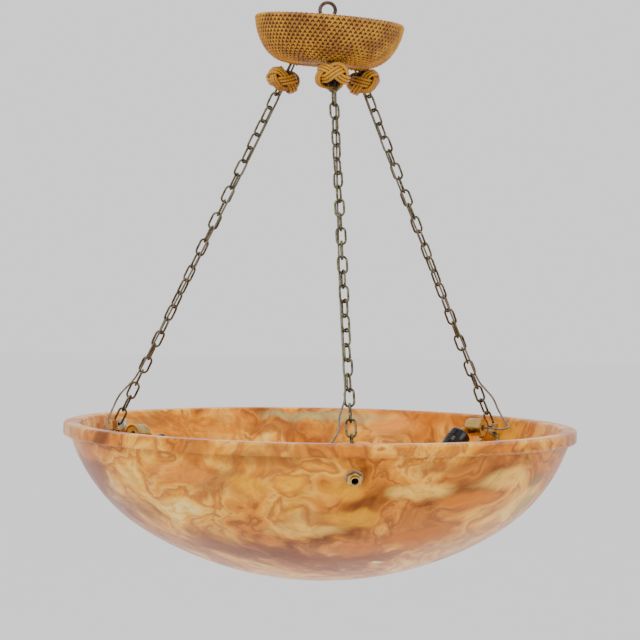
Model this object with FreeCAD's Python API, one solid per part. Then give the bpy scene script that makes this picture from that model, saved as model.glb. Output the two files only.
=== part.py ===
"""Alabaster bowl pendant: a stone bowl on three chains under a crocheted canopy.

The frame is the lamp's own: the origin is the centre of the ceiling ring, +Z is up,
-Y faces the viewer and +X is to the viewer's right.  All lengths are millimetres.

Each hanger is modelled once, as if it hung at the very front, in the local
coordinates r (out from the lamp's axis), b (sideways, towards +X) and z (up).
It is then mirrored if it is a left-handed one and turned to its own azimuth.
"""
import FreeCAD, Part
import math
import os

V = FreeCAD.Vector

# ---------------------------------------------------------------- overall layout
RIM_DROP = 453.0            # ring centre down to the bowl's rim plane
HOOK_DROP = 75.5            # ring centre down to the wire of each chain's first link
HOOK_CIRCLE_R = 51.5        # circle of the three chain hooks
FIRST_AZIMUTH = 7.5         # front hanger, degrees from -Y towards +X
HANGERS = (                 # name, azimuth in thirds of a turn, hand, height of its lamp cup
    ("front", 0, 1, 0.0),
    ("right", 1, 1, 5.0),
    ("left", 2, -1, -5.0),
)

# ---------------------------------------------------------------- alabaster bowl
RIM_R = 280.0
RIM_BAND_H = 14.0
RIM_EDGE_R = 3.0
RIM_STEP = 7.5              # the band stands this far out from the wall below it
BOWL_DEPTH = 168.6
BOWL_SIDE_R = 186.5         # radius of the side
BOWL_BLEND = 31.8           # degrees from the axis where the two arcs meet
BOWL_WALL = 13.0

# ---------------------------------------------------------------- ring and its shank
RING_R = 8.4
RING_WIRE_R = 2.05
SHANK_R = 3.0
NUT_M6_AF = 10.0
NUT_M6_H = 5.0
THREAD_PLAY = 0.05          # radial play of a nut on its thread
FACE_GAP = 0.1              # gap between stacked faces

# ---------------------------------------------------------------- crocheted canopy
CANOPY_R = 81.0
CANOPY_TOP_DROP = 11.5      # ring centre down to the canopy's rim
CANOPY_H = 48.0
CANOPY_SIDE_R = 62.0        # round side
CANOPY_SIDE_RISE = 3.6      # centre of the side's arc above the rim
CANOPY_CORNER_R = 36.0      # round corner into the flat bottom
COVER_T = 4.5
COVER_ROLL = 0.6            # how far the cover's rolled edge stands proud
COVER_HOLE_R = 9.5
CUP_T = 1.0
CUP_RIM_DROP = 5.0          # canopy's rim down to the cup's own edge
CANOPY_TILT = 3.6           # degrees, right side down
TILT_GAP = 0.45             # room for the canopy to rock between its nuts
WASHER_R = 8.0
WASHER_T = 1.0
CANOPY_PORT_R = 9.0         # hole for one hook and its cord

# ---------------------------------------------------------------- spider and hooks
SPIDER_T = 3.0
SPIDER_HUB_R = 19.0
SPIDER_ARM_W = 12.0
SPIDER_ARM_TIP = 7.5        # arm beyond the hook's hole
SPIDER_BEND_BACK = 9.5      # bend of the arm before the hook's hole
HOOK_WIRE_R = 1.1
HOOK_EYE_R = 3.0
HOOK_STEM_R = 1.5
HOOK_PLAY = 0.45
HOOK_NUT_AF = 6.0
HOOK_NUT_H = 2.6
BLOCK_R = 17.0
BLOCK_BORE_R = 7.0
BLOCK_H = 15.0
BLOCK_ENTRY_H = 10.7        # cord entries above the block's foot
BLOCK_ENTRY_TURN = 20.0     # degrees that an entry lies beside its hook

# ---------------------------------------------------------------- knots and chains
KNOT_R = 18.5
KNOT_HALF_H = 14.0
KNOT_BORE_R = 6.9           # clear of the supply cord while the chain swings
LINKS = 26                  # an even number, so that the last link lies radially
LINK_WIRE_R = 1.25
LINK_FACET_R = 1.35         # corner radius of the six-sided wire
LINK_BEND_R = 4.75
LINK_PLAY = 0.3
FOOT_PLAY = 1.15            # last link under its bracket, room for the sway

# ---------------------------------------------------------------- lamp cord
CORD_R = 1.1
CORD_OFFSET = 4.3           # from the chain's line
CORD_PHASE = 135.0          # degrees round the chain at its first link, from the outward side
CORD_LEAVES = 60.0          # above the chain's foot
CORD_SPLIT = 0.3            # gap where the cord turns with the chain
ENTRY_R = 1.5               # cord entries of the connector block

# ---------------------------------------------------------------- wall fixing
NIPPLE_DROP = 34.0          # below the rim plane, on the outer wall
NIPPLE_R = 5.0
NIPPLE_BORE_R = 3.7
NIPPLE_OUT = 7.6            # beyond the outer wall
NIPPLE_IN = 21.0            # beyond the inner wall
WALL_HOLE_R = 5.6
GASKET_R = 9.0
GASKET_T = 1.0
SEAT_GAP = 0.4              # flat gasket on the hollow inner wall
NUT_M10_AF = 14.2
NUT_M10_H = 4.5
INNER_WASHER_R = 8.2
INNER_WASHER_T = 1.2

# ---------------------------------------------------------------- steel bracket
BRACKET_T = 1.6
BRACKET_SET_IN = 2.0        # head's middle plane, inside the inner wall beside the nipple
BRACKET_TOP_DROP = 6.0
BRACKET_HEAD_H = 9.5
BRACKET_FLAT_H = 9.4        # flat of the eye above the nipple's axis
BRACKET_TOP_W = 26.0
BRACKET_FOOT_W = 20.0
BRACKET_NECK_W = 14.0
BRACKET_EYE_R = 9.5
BRACKET_BAR_H = 2.4         # metal over the link's hole
BRACKET_HOLE_R = 3.3
BRACKET_SIDE_HOLE_R = 1.5
BRACKET_SIDE_HOLE_B = 7.6
BRACKET_FLANGE = 5.0

# ---------------------------------------------------------------- lamp cup and arm
CUP_DROP = 14.5             # middle height of the lamp cups, below the rim plane
CUP_R = 10.2
CUP_LENGTH = 22.0
CUP_WALL = 1.0
CUP_ROUND = 4.0
CUP_SET_IN = 29.0           # mouth's centre, inside the bracket's head
CUP_MOUTH_B = -22.0         # and beside it
CUP_TURN = 17.5             # degrees from the sideways direction, inwards
BUSH_BORE_R = 3.4
BUSH_T = 5.0
COUPLING_AF = 13.0
COUPLING_L = 12.0
ARM_R = 3.0
ARM_KNEE = 4.0              # bend of the arm beyond its coupling
ARM_MEETS_B = -7.0

# ---------------------------------------------------------------- lampholder
LUG_R = 3.3
LUG_T = 3.0
PIN_R = 1.5
PIN_PLAY = 0.05
PIVOT_OUT = 13.8            # pivot from the cup's axis
PIVOT_DOWN = 3.0
PIVOT_B = -8.0
FORK_EAR_T = 1.5
FORK_GAP = 0.2
FORK_BASE_R = 6.0
FORK_BASE_T = 1.4
FORK_REACH = 5.4            # pivot to the cap's end
LAMP_DIP = 45.0             # degrees below the horizontal
CAP_R = 12.5
CAP_H = 11.0
BAKELITE_T = 2.5
BODY_R = 12.0
BODY_BORE_R = 9.2
BODY_L = 25.0
RIB_R = 12.7
RIB_PITCH = 2.6
RIBS = 3
BASE_T = 5.0
BASE_PLAY = 0.2
SHELL_BORE_R = 7.0
SHELL_T = 0.5
SHELL_L = 16.0
CONTACT_R = 3.0
CONTACT_T = 1.2
CONTACT_PLAY = 0.2


# ================================================================ small helpers
def at(r, b, z):
    """A point of the hanger at the very front, from its local coordinates."""
    return V(b, -r, z)


def unit(vector):
    """The vector at length one."""
    return vector * (1.0 / vector.Length)


def along(shape, base, direction):
    """Move a shape made round +Z so that it stands on base along direction."""
    moved = shape.copy()
    moved.Placement = FreeCAD.Placement(base, FreeCAD.Rotation(V(0, 0, 1), direction))
    return moved


def rod(radius, start, end):
    """A plain round rod between two points."""
    return Part.makeCylinder(radius, (end - start).Length, start, end - start)


def washer(outer_r, inner_r, thickness):
    """A flat ring standing on the XY plane."""
    return Part.makeCylinder(outer_r, thickness).cut(Part.makeCylinder(inner_r, thickness))


def hexagon(across_flats, height):
    """A hexagonal prism with two flats facing +X and -X."""
    corner_r = across_flats / math.sqrt(3.0)
    corners = [V(corner_r * math.cos(math.radians(60 * k + 30)),
                 corner_r * math.sin(math.radians(60 * k + 30)), 0) for k in range(7)]
    return Part.Face(Part.makePolygon(corners)).extrude(V(0, 0, height))


def hex_nut(across_flats, height, bore_r):
    """A hexagonal nut with chamfered corners, standing on the XY plane."""
    corner_r = across_flats / math.sqrt(3.0)
    slope = height / 2.0
    cone = Part.makeCone(corner_r + slope - 0.6, corner_r - 0.6, slope, V(0, 0, height - slope))
    foot = Part.makeCylinder(corner_r + slope, height - slope)
    body = hexagon(across_flats, height).common(foot.fuse(cone))
    return body.cut(Part.makeCylinder(bore_r, height))


def outline(start, *steps):
    """A closed face in the XZ plane.

    Each step is an (x, z) point for a straight side, or a pair of points
    (middle, end) for a round one.
    """
    edges = []
    here = V(start[0], 0, start[1])
    for step in steps + (start,):
        if isinstance(step[0], tuple):
            middle, end = (V(p[0], 0, p[1]) for p in step)
            edges.append(Part.Arc(here, middle, end).toShape())
            here = end
        else:
            end = V(step[0], 0, step[1])
            if (end - here).Length > 1e-6:
                edges.append(Part.LineSegment(here, end).toShape())
            here = end
    return Part.Face(Part.Wire(edges))


def spun(start, *steps):
    """An outline turned once round the Z axis."""
    return outline(start, *steps).revolve(V(0, 0, 0), V(0, 0, 1), 360)


def on_circle(centre, radius, degrees):
    """A point of a circle in the XZ plane, the angle counted from +X to +Z."""
    angle = math.radians(degrees)
    return (centre[0] + radius * math.cos(angle), centre[1] + radius * math.sin(angle))


def bend(centre, radius, first, last):
    """The (middle, end) step of an arc from one angle to another."""
    return (on_circle(centre, radius, (first + last) / 2.0), on_circle(centre, radius, last))


def rounded_path(points):
    """Straight runs joined by tangent arcs, each as large as its two runs allow."""
    edges = []
    radii = []
    here = points[0]
    for before, corner, after in zip(points, points[1:], points[2:]):
        back = unit(before - corner)
        ahead = unit(after - corner)
        half_turn = (math.pi - back.getAngle(ahead)) / 2.0
        cut = 0.45 * min((before - corner).Length, (after - corner).Length)
        radius = cut / math.tan(half_turn)
        radii.append(radius)
        first, last = corner + back * cut, corner + ahead * cut
        middle = corner + unit(back + ahead) * (radius / math.cos(half_turn) - radius)
        edges.append(Part.LineSegment(here, first).toShape())
        edges.append(Part.Arc(first, middle, last).toShape())
        here = last
    edges.append(Part.LineSegment(here, points[-1]).toShape())
    return Part.Wire(edges), radii


def tube(name, points, radius):
    """A round tube along a rounded path; its volume and bends are printed."""
    path, radii = rounded_path(points)
    section = Part.Wire(Part.makeCircle(radius, points[0], points[1] - points[0]))
    solid = path.makePipeShell([section], True, False)
    wanted = math.pi * radius ** 2 * path.Length
    print(f"{name}: length {path.Length:.1f}, tightest bend {min(radii):.1f}, "
          f"volume over section times length {solid.Volume / wanted:.4f}")
    return solid


def strip(middle_line, thickness, width):
    """Sheet metal bent along a line of (r, z) points, width across b."""
    half = thickness / 2.0
    sides = ([], [])
    for k, (r, z) in enumerate(middle_line):
        turns = []
        for a, c in zip(middle_line[max(k - 1, 0):k + 1], middle_line[max(k, 1):k + 2]):
            turns.append(unit(V(c[0] - a[0], 0, c[1] - a[1])))
        course = unit(turns[0] + turns[-1])
        reach = half / math.cos(turns[0].getAngle(turns[-1]) / 2.0)
        for side, sign in zip(sides, (1, -1)):
            side.append(at(r - sign * course.z * reach, -width / 2.0, z + sign * course.x * reach))
    loop = sides[0] + sides[1][::-1]
    return Part.Face(Part.makePolygon(loop + loop[:1])).extrude(V(width, 0, 0))


def save(shape, node):
    """Write one sub-part; it has to be made of sound solids."""
    if not shape.isValid() or not shape.Solids:
        raise RuntimeError(f"{node} is not a sound solid")
    shape.exportStep(f"parts/{node}.step")


def group(shapes):
    """Several separate solids in one node."""
    return Part.makeCompound([solid for shape in shapes for solid in shape.Solids])


def to_hanger(shape, step, hand):
    """Mirror a hanger's piece if it is left-handed and turn it to its azimuth."""
    placed = shape.mirror(V(0, 0, 0), V(1, 0, 0)) if hand < 0 else shape.copy()
    placed.rotate(V(0, 0, 0), V(0, 0, 1), FIRST_AZIMUTH + 120.0 * step)
    return placed


def hanger_point(point, step, hand):
    """The same for one point."""
    local = V(point.x * hand, point.y, point.z)
    turn = FreeCAD.Rotation(V(0, 0, 1), FIRST_AZIMUTH + 120.0 * step)
    return turn.multVec(local)


# ================================================================ bowl geometry
def base_radius():
    """Radius of the bottom's arc, so that the side's arc ends just under the rim's band.

    The side's centre moves along a line as the bottom's radius grows, and its arc has to
    pass through the foot of the band: that is a quadratic in the radius.
    """
    sine, cosine = math.sin(math.radians(BOWL_BLEND)), math.cos(math.radians(BOWL_BLEND))
    across = RIM_R - RIM_STEP + sine * BOWL_SIDE_R
    height = BOWL_DEPTH - RIM_BAND_H - cosine * BOWL_SIDE_R
    square = sine ** 2 + (1 - cosine) ** 2
    half = across * sine + height * (1 - cosine)
    rest = across ** 2 + height ** 2 - BOWL_SIDE_R ** 2
    return (half - math.sqrt(half ** 2 - square * rest)) / square


BASE_R = base_radius()
BASE_CENTRE_Z = BASE_R - BOWL_DEPTH - RIM_DROP
_reach = BASE_R - BOWL_SIDE_R
SIDE_CENTRE = (_reach * math.sin(math.radians(BOWL_BLEND)),
               BASE_CENTRE_Z - _reach * math.cos(math.radians(BOWL_BLEND)))


def wall_angle(z, inside=0.0):
    """Angle on the side arc at a height, counted from +X, for the outer wall or inside it."""
    return math.degrees(math.asin((z - SIDE_CENTRE[1]) / (BOWL_SIDE_R - inside)))


def wall_r(z, inside=0.0):
    """Radius of the wall at a height, for the outer wall or inside it."""
    return SIDE_CENTRE[0] + (BOWL_SIDE_R - inside) * math.cos(math.radians(wall_angle(z, inside)))


# The fixing stands square to the wall: its place and its outward direction in (r, z).
NIPPLE_Z = -RIM_DROP - NIPPLE_DROP
_lean = math.radians(wall_angle(NIPPLE_Z))
WALL_OUT = V(0, -math.cos(_lean), math.sin(_lean))
WALL_UP = V(0, -math.cos(_lean + math.pi / 2), math.sin(_lean + math.pi / 2))
WALL_POINT = at(wall_r(NIPPLE_Z), 0, NIPPLE_Z)
HEAD_R = wall_r(NIPPLE_Z, BOWL_WALL) - BRACKET_SET_IN


def on_nipple(s):
    """A point of the nipple's axis, s outwards from the outer wall."""
    return WALL_POINT + WALL_OUT * s


# ================================================================ chain line
HOOK_POINT = at(HOOK_CIRCLE_R, 0, -HOOK_DROP)
BAR_POINT = at(HEAD_R, 0, -RIM_DROP - BRACKET_TOP_DROP - BRACKET_BAR_H)
CHAIN_UP = unit(HOOK_POINT - BAR_POINT)
CHAIN_FOOT = BAR_POINT - CHAIN_UP * (FOOT_PLAY + LINK_WIRE_R)
CHAIN_LENGTH = (HOOK_POINT - CHAIN_FOOT).Length
CHAIN_SIDE = V(1, 0, 0)
CHAIN_OUT = unit(CHAIN_SIDE.cross(CHAIN_UP))
PITCH = (CHAIN_LENGTH - 2 * LINK_WIRE_R - LINK_PLAY) / LINKS
TWIST = 180.0 / (LINKS - 1)


def chain_frame(distance, angle):
    """A point of the chain's line below the hook, and the direction at an angle round it."""
    turn = math.radians(angle)
    direction = CHAIN_OUT * math.cos(turn) + CHAIN_SIDE * math.sin(turn)
    return HOOK_POINT - CHAIN_UP * distance, direction


# ================================================================ top: ring to hooks
CUP_FLOOR_Z = -CANOPY_TOP_DROP - CANOPY_H + COVER_T + CUP_T
LOWER_NUT_Z = CUP_FLOOR_Z + FACE_GAP + WASHER_T + TILT_GAP
SPIDER_Z = LOWER_NUT_Z + NUT_M6_H + FACE_GAP
UPPER_NUT_Z = SPIDER_Z + SPIDER_T + FACE_GAP
CAP_NUT_Z = CUP_FLOOR_Z - CUP_T - FACE_GAP - WASHER_T - TILT_GAP - NUT_M6_H
TILT_POINT = V(0, 0, CUP_FLOOR_Z - CUP_T / 2.0)


def spider_hole():
    """Where a hook's stem crosses the arm: the arm is bent square to the chain's line."""
    slope = CHAIN_OUT.z / -CHAIN_OUT.y
    middle_z = SPIDER_Z + SPIDER_T / 2.0 + SPIDER_BEND_BACK * slope
    distance = (middle_z - HOOK_POINT.z) / CHAIN_UP.z
    return HOOK_POINT + CHAIN_UP * distance


def ceiling_eye():
    """The iron ring with its threaded shank."""
    ring = Part.makeTorus(RING_R, RING_WIRE_R, V(0, 0, 0), V(0, 1, 0))
    shank = rod(SHANK_R, V(0, 0, -RING_R), V(0, 0, CAP_NUT_Z + 0.5))
    collar = along(Part.makeCone(SHANK_R + 1.6, SHANK_R, 4.0), V(0, 0, -RING_R - 1.0), V(0, 0, -1))
    return ring.fuse([shank, collar]).removeSplitter()


def spider():
    """The hanger plate: a hub with three arms bent square to the chains."""
    hole = spider_hole()
    hub = Part.makeCylinder(SPIDER_HUB_R, SPIDER_T, V(0, 0, SPIDER_Z))
    middle_z = SPIDER_Z + SPIDER_T / 2.0
    tip = hole + CHAIN_OUT * SPIDER_ARM_TIP
    line = [(0.0, middle_z), (-hole.y - SPIDER_BEND_BACK, middle_z), (-tip.y, tip.z)]
    arm = strip(line, SPIDER_T, SPIDER_ARM_W)
    drill = rod(HOOK_STEM_R + THREAD_PLAY, hole - CHAIN_UP * 9, hole + CHAIN_UP * 9)
    arms = [to_hanger(arm.cut(drill), step, 1) for _, step, _, _ in HANGERS]
    plate = hub.fuse(arms).removeSplitter()
    return plate.cut(Part.makeCylinder(SHANK_R + THREAD_PLAY, 40, V(0, 0, SPIDER_Z - 20)))


def chain_hook():
    """An eye hook: the eye lies radially and its stem passes up through the arm."""
    centre = HOOK_POINT + CHAIN_UP * (HOOK_EYE_R - HOOK_WIRE_R - LINK_WIRE_R - HOOK_PLAY)
    eye = Part.makeTorus(HOOK_EYE_R, HOOK_WIRE_R, centre, CHAIN_SIDE)
    top = spider_hole() + CHAIN_UP * (SPIDER_T / 2.0 + HOOK_NUT_H + 1.5)
    return eye.fuse(rod(HOOK_STEM_R, centre + CHAIN_UP * HOOK_EYE_R, top))


def hook_nut():
    """The small nut on a hook's stem, on top of the arm."""
    nut = hex_nut(HOOK_NUT_AF, HOOK_NUT_H, HOOK_STEM_R + THREAD_PLAY)
    return along(nut, spider_hole() + CHAIN_UP * (SPIDER_T / 2.0 + FACE_GAP), CHAIN_UP)


def block_entry(radius):
    """A point on the line of the block's cord entry, at a distance from the shank."""
    turn = math.radians(BLOCK_ENTRY_TURN)
    return at(radius * math.cos(turn), radius * math.sin(turn), UPPER_NUT_Z + BLOCK_ENTRY_H)


def terminal_block():
    """A round connector block round the shank, with one entry for each cord."""
    block = spun((BLOCK_BORE_R, 0), (BLOCK_R, 0), (BLOCK_R, BLOCK_H - 2),
                 bend((BLOCK_R - 2, BLOCK_H - 2), 2, 0, 90), (BLOCK_BORE_R, BLOCK_H))
    block.translate(V(0, 0, UPPER_NUT_Z))
    for _, step, hand, _ in HANGERS:
        entry = rod(ENTRY_R, block_entry(BLOCK_R - 6.0), block_entry(BLOCK_R + 1.0))
        block = block.cut(to_hanger(entry, step, hand))
    return block


# ================================================================ canopy
CANOPY_SIDE = (CANOPY_R - CANOPY_SIDE_R, -CANOPY_TOP_DROP + CANOPY_SIDE_RISE)


def canopy_turn():
    """Angle at which the side's arc runs over into the corner's, counted from +X."""
    depth = CANOPY_SIDE[1] - (-CANOPY_TOP_DROP - CANOPY_H)
    return -math.degrees(math.asin((depth - CANOPY_CORNER_R) / (CANOPY_SIDE_R - CANOPY_CORNER_R)))


def canopy_shell(outside, inside, rim_drop, proud):
    """The canopy's wall between two distances inside its outer form, with a rounded edge."""
    bottom = -CANOPY_TOP_DROP - CANOPY_H
    turn = canopy_turn()
    corner = on_circle(CANOPY_SIDE, CANOPY_SIDE_R - CANOPY_CORNER_R, turn)
    half = (inside - outside) / 2.0
    edge_r = half + proud
    lip_drop = CANOPY_SIDE_RISE + rim_drop + edge_r
    start = -math.degrees(math.asin(lip_drop / CANOPY_SIDE_R))
    lip = on_circle(CANOPY_SIDE, CANOPY_SIDE_R - outside, start)
    lip_in = on_circle(CANOPY_SIDE, CANOPY_SIDE_R - inside, start)
    crown = on_circle(CANOPY_SIDE, CANOPY_SIDE_R - outside - half, start)
    crown = (crown[0], crown[1] + edge_r)
    return spun((0, bottom + outside), (corner[0], bottom + outside),
                bend(corner, CANOPY_CORNER_R - outside, -90.0, turn),
                bend(CANOPY_SIDE, CANOPY_SIDE_R - outside, turn, start), (crown, lip_in),
                bend(CANOPY_SIDE, CANOPY_SIDE_R - inside, start, turn),
                bend(corner, CANOPY_CORNER_R - inside, turn, -90.0), (0, bottom + inside))


def tilted(shape):
    """Rock a piece of the canopy on its seat, right side down."""
    turned = shape.copy()
    turned.rotate(TILT_POINT, V(0, 1, 0), CANOPY_TILT)
    return turned


def ports():
    """Tools that cut the holes for the three hooks with their cords."""
    start, end = HOOK_POINT + CHAIN_UP * 4, HOOK_POINT + CHAIN_UP * 40
    return [to_hanger(rod(CANOPY_PORT_R, start, end), step, hand) for _, step, hand, _ in HANGERS]


def canopy_cover():
    """The crocheted cord cover, a thick soft cup open at the top."""
    cover = tilted(canopy_shell(0.0, COVER_T, 0.0, COVER_ROLL))
    hole = tilted(Part.makeCylinder(COVER_HOLE_R, 30, V(0, 0, CUP_FLOOR_Z - 20)))
    return cover.cut(ports() + [hole])


def canopy_cup():
    """The thin spun cup that stiffens the cover."""
    cup = tilted(canopy_shell(COVER_T + FACE_GAP, COVER_T + CUP_T, CUP_RIM_DROP, 0.0))
    hole = tilted(Part.makeCylinder(SHANK_R + 0.8, 30, V(0, 0, CUP_FLOOR_Z - 20)))
    return cup.cut(ports() + [hole])


# ================================================================ knots, chains, cords
def knot():
    """A covered knot ball, pierced along the chain's line."""
    cut_h = KNOT_HALF_H * math.sqrt(1 - (KNOT_BORE_R / KNOT_R) ** 2)
    ball = Part.Ellipse(V(0, 0, 0), KNOT_R, KNOT_HALF_H)
    limit = math.asin(cut_h / KNOT_HALF_H)
    curve = Part.ArcOfEllipse(ball, -limit, limit).toShape()
    curve.rotate(V(0, 0, 0), V(1, 0, 0), 90)
    side = Part.LineSegment(V(KNOT_BORE_R, 0, cut_h), V(KNOT_BORE_R, 0, -cut_h)).toShape()
    face = Part.Face(Part.Wire([curve, side]))
    return along(face.revolve(V(0, 0, 0), V(0, 0, 1), 360), HOOK_POINT, CHAIN_UP)


def link():
    """One oblong link of six-sided wire, its length along Z and its width along X."""
    straight = (PITCH + LINK_PLAY) / 2.0 + LINK_WIRE_R - LINK_BEND_R
    line = []
    corner_r = LINK_BEND_R / math.cos(math.pi / 8)
    for sign in (1, -1):
        for k in range(4):
            angle = math.radians(22.5 + 45 * k)
            line.append((sign * corner_r * math.cos(angle),
                         sign * (straight + corner_r * math.sin(angle))))
    rings = []
    count = len(line)
    for k in range(count):
        a, p, c = (V(line[(k + j) % count][0], 0, line[(k + j) % count][1]) for j in (-1, 0, 1))
        ahead, back = unit(c - p), unit(p - a)
        course = unit(ahead + back)
        outwards = course.cross(V(0, 1, 0)) * (1.0 / math.cos(ahead.getAngle(back) / 2.0))
        rings.append([p + outwards * (LINK_FACET_R * math.cos(math.radians(60 * j + 30)))
                      + V(0, LINK_FACET_R * math.sin(math.radians(60 * j + 30)), 0)
                      for j in range(6)])
    faces = []
    for k in range(count):
        near, far = rings[k], rings[(k + 1) % count]
        for j in range(6):
            n = (j + 1) % 6
            faces.append(Part.Face(Part.makePolygon([near[j], near[n], far[n], far[j], near[j]])))
    solid = Part.Solid(Part.makeShell(faces))
    return solid if solid.Volume > 0 else solid.reversed()


def chain():
    """The links of one chain, each a quarter turn and a little twist after the last."""
    single = link()
    links = []
    for k in range(LINKS):
        middle = LINK_WIRE_R + LINK_PLAY / 2.0 + (k + 0.5) * PITCH
        place, wide = chain_frame(middle, 90.0 + k * (90.0 + TWIST))
        axes = FreeCAD.Matrix()
        across = CHAIN_UP.cross(wide)
        for column, axis in enumerate((wide, across, CHAIN_UP)):
            for row, value in enumerate(axis):
                axes.A = tuple(value if n == 4 * row + column else old
                               for n, old in enumerate(axes.A))
        copy = single.copy()
        copy.Placement = FreeCAD.Placement(place, FreeCAD.Rotation(axes))
        links.append(copy)
    return group(links)


def beside_chain(distance):
    """The cord's point beside the chain: it keeps to the corner between two links."""
    turns = (distance - PITCH / 2.0) / PITCH
    place, direction = chain_frame(distance, CORD_PHASE + turns * TWIST)
    return place + direction * CORD_OFFSET


def cup_axis():
    """Place of the lamp cup's mouth and the direction of its axis into the cup."""
    turn = math.radians(CUP_TURN)
    return V(CUP_MOUTH_B, CUP_SET_IN - HEAD_R, 0), V(math.cos(turn), math.sin(turn), 0)


def off_chain(distance, angle, offset):
    """A point off the chain's line, at an angle round it."""
    place, direction = chain_frame(distance, angle)
    return place + direction * offset


def lamp_cord(cup_z):
    """The cord from the knot down beside its chain, out in a loop and into the lamp cup."""
    last = CHAIN_LENGTH - CORD_LEAVES
    count = int(last / (2 * PITCH))
    points = [beside_chain(CORD_SPLIT + k * last / count) for k in range(count + 1)]
    rim = -RIM_DROP
    sink = cup_z - rim
    mouth, into = cup_axis()
    entry = V(mouth.x, mouth.y, cup_z)
    points += [off_chain(last + 13, 298, 9.5), off_chain(last + 26, 300, 15),
               off_chain(last + 40, 300, 15), at(HEAD_R + 1, mouth.x, rim + 0.2 * sink),
               at(HEAD_R - 2, mouth.x - 11, rim + 0.6 * sink),
               at(HEAD_R - 10, mouth.x - 21, rim + 0.9 * sink),
               at(HEAD_R - 22.5, mouth.x - 22.5, rim + 1.05 * sink),
               entry - into * 9, entry + into * 9]
    return points


def supply_cord():
    """The cord inside the canopy, from the knot past the spider's arm to the block."""
    start = beside_chain(-CORD_SPLIT)
    entry = block_entry(BLOCK_R + 7.0)
    return [start, start + CHAIN_UP * 22.0, at(40, 9, entry.z - 9.5), at(34, 10.5, entry.z + 0.5),
            entry, block_entry(BLOCK_R - 4.0)]


# ================================================================ bowl and its fixings
def bowl():
    """The turned alabaster bowl with its rim band and three holes."""
    top = -RIM_DROP
    low = top - RIM_BAND_H
    edge = RIM_EDGE_R
    inner_r = BOWL_SIDE_R - BOWL_WALL
    base = (0.0, BASE_CENTRE_Z)
    join = BOWL_BLEND - 90.0
    inner_top = wall_r(top - edge, BOWL_WALL)
    solid = spun(
        (0, BASE_CENTRE_Z - BASE_R),
        bend(base, BASE_R, -90.0, join),
        bend(SIDE_CENTRE, BOWL_SIDE_R, join, wall_angle(low)),
        (RIM_R - edge, low), bend((RIM_R - edge, low + edge), edge, -90, 0),
        (RIM_R, top - edge), bend((RIM_R - edge, top - edge), edge, 0, 90),
        (inner_top + edge, top), bend((inner_top + edge, top - edge), edge, 90, 180),
        bend(SIDE_CENTRE, inner_r, wall_angle(top - edge, BOWL_WALL), join),
        bend(base, BASE_R - BOWL_WALL, join, -90.0))
    drill = rod(WALL_HOLE_R, on_nipple(-BOWL_WALL - 10), on_nipple(10))
    return solid.cut([to_hanger(drill, step, hand) for _, step, hand, _ in HANGERS])


def stack(start, outward, *pieces):
    """Rings and nuts set one behind another on the nipple: {name: shape}."""
    placed = {}
    s = start
    for name, shape, height in pieces:
        base = on_nipple(s if outward else s - height)
        placed[name] = along(shape, base, WALL_OUT)
        s += (height + FACE_GAP) * (1 if outward else -1)
    return placed, s


def bracket_place():
    """How far inside the outer wall the bracket's middle plane stands."""
    return -(BOWL_WALL + SEAT_GAP + GASKET_T + FACE_GAP + BRACKET_T / 2.0)


def wall_fixing():
    """Gaskets, nipple, washer and nuts of one hanger, and where the nut ends inside."""
    gasket = washer(GASKET_R, NIPPLE_R + 0.3, GASKET_T)
    nut = hex_nut(NUT_M10_AF, NUT_M10_H, NIPPLE_R + THREAD_PLAY)
    plate = washer(INNER_WASHER_R, NIPPLE_R + 0.2, INNER_WASHER_T)
    pieces, _ = stack(FACE_GAP, True, ("outer_gaskets", gasket, GASKET_T),
                      ("outer_nuts", nut, NUT_M10_H))
    inner, _ = stack(-BOWL_WALL - SEAT_GAP, False, ("inner_gaskets", gasket, GASKET_T))
    pieces.update(inner)
    flipped = along(nut, V(0, 0, NUT_M10_H), V(0, 0, -1))
    inner, end = stack(bracket_place() - BRACKET_T / 2.0 - FACE_GAP, False,
                       ("inner_washers", plate, INNER_WASHER_T), ("inner_nuts", flipped, NUT_M10_H))
    pieces.update(inner)
    tube_wall = washer(NIPPLE_R, NIPPLE_BORE_R, NIPPLE_OUT + BOWL_WALL + NIPPLE_IN)
    pieces["nipples"] = along(tube_wall, on_nipple(-BOWL_WALL - NIPPLE_IN), WALL_OUT)
    return pieces, end


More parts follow.
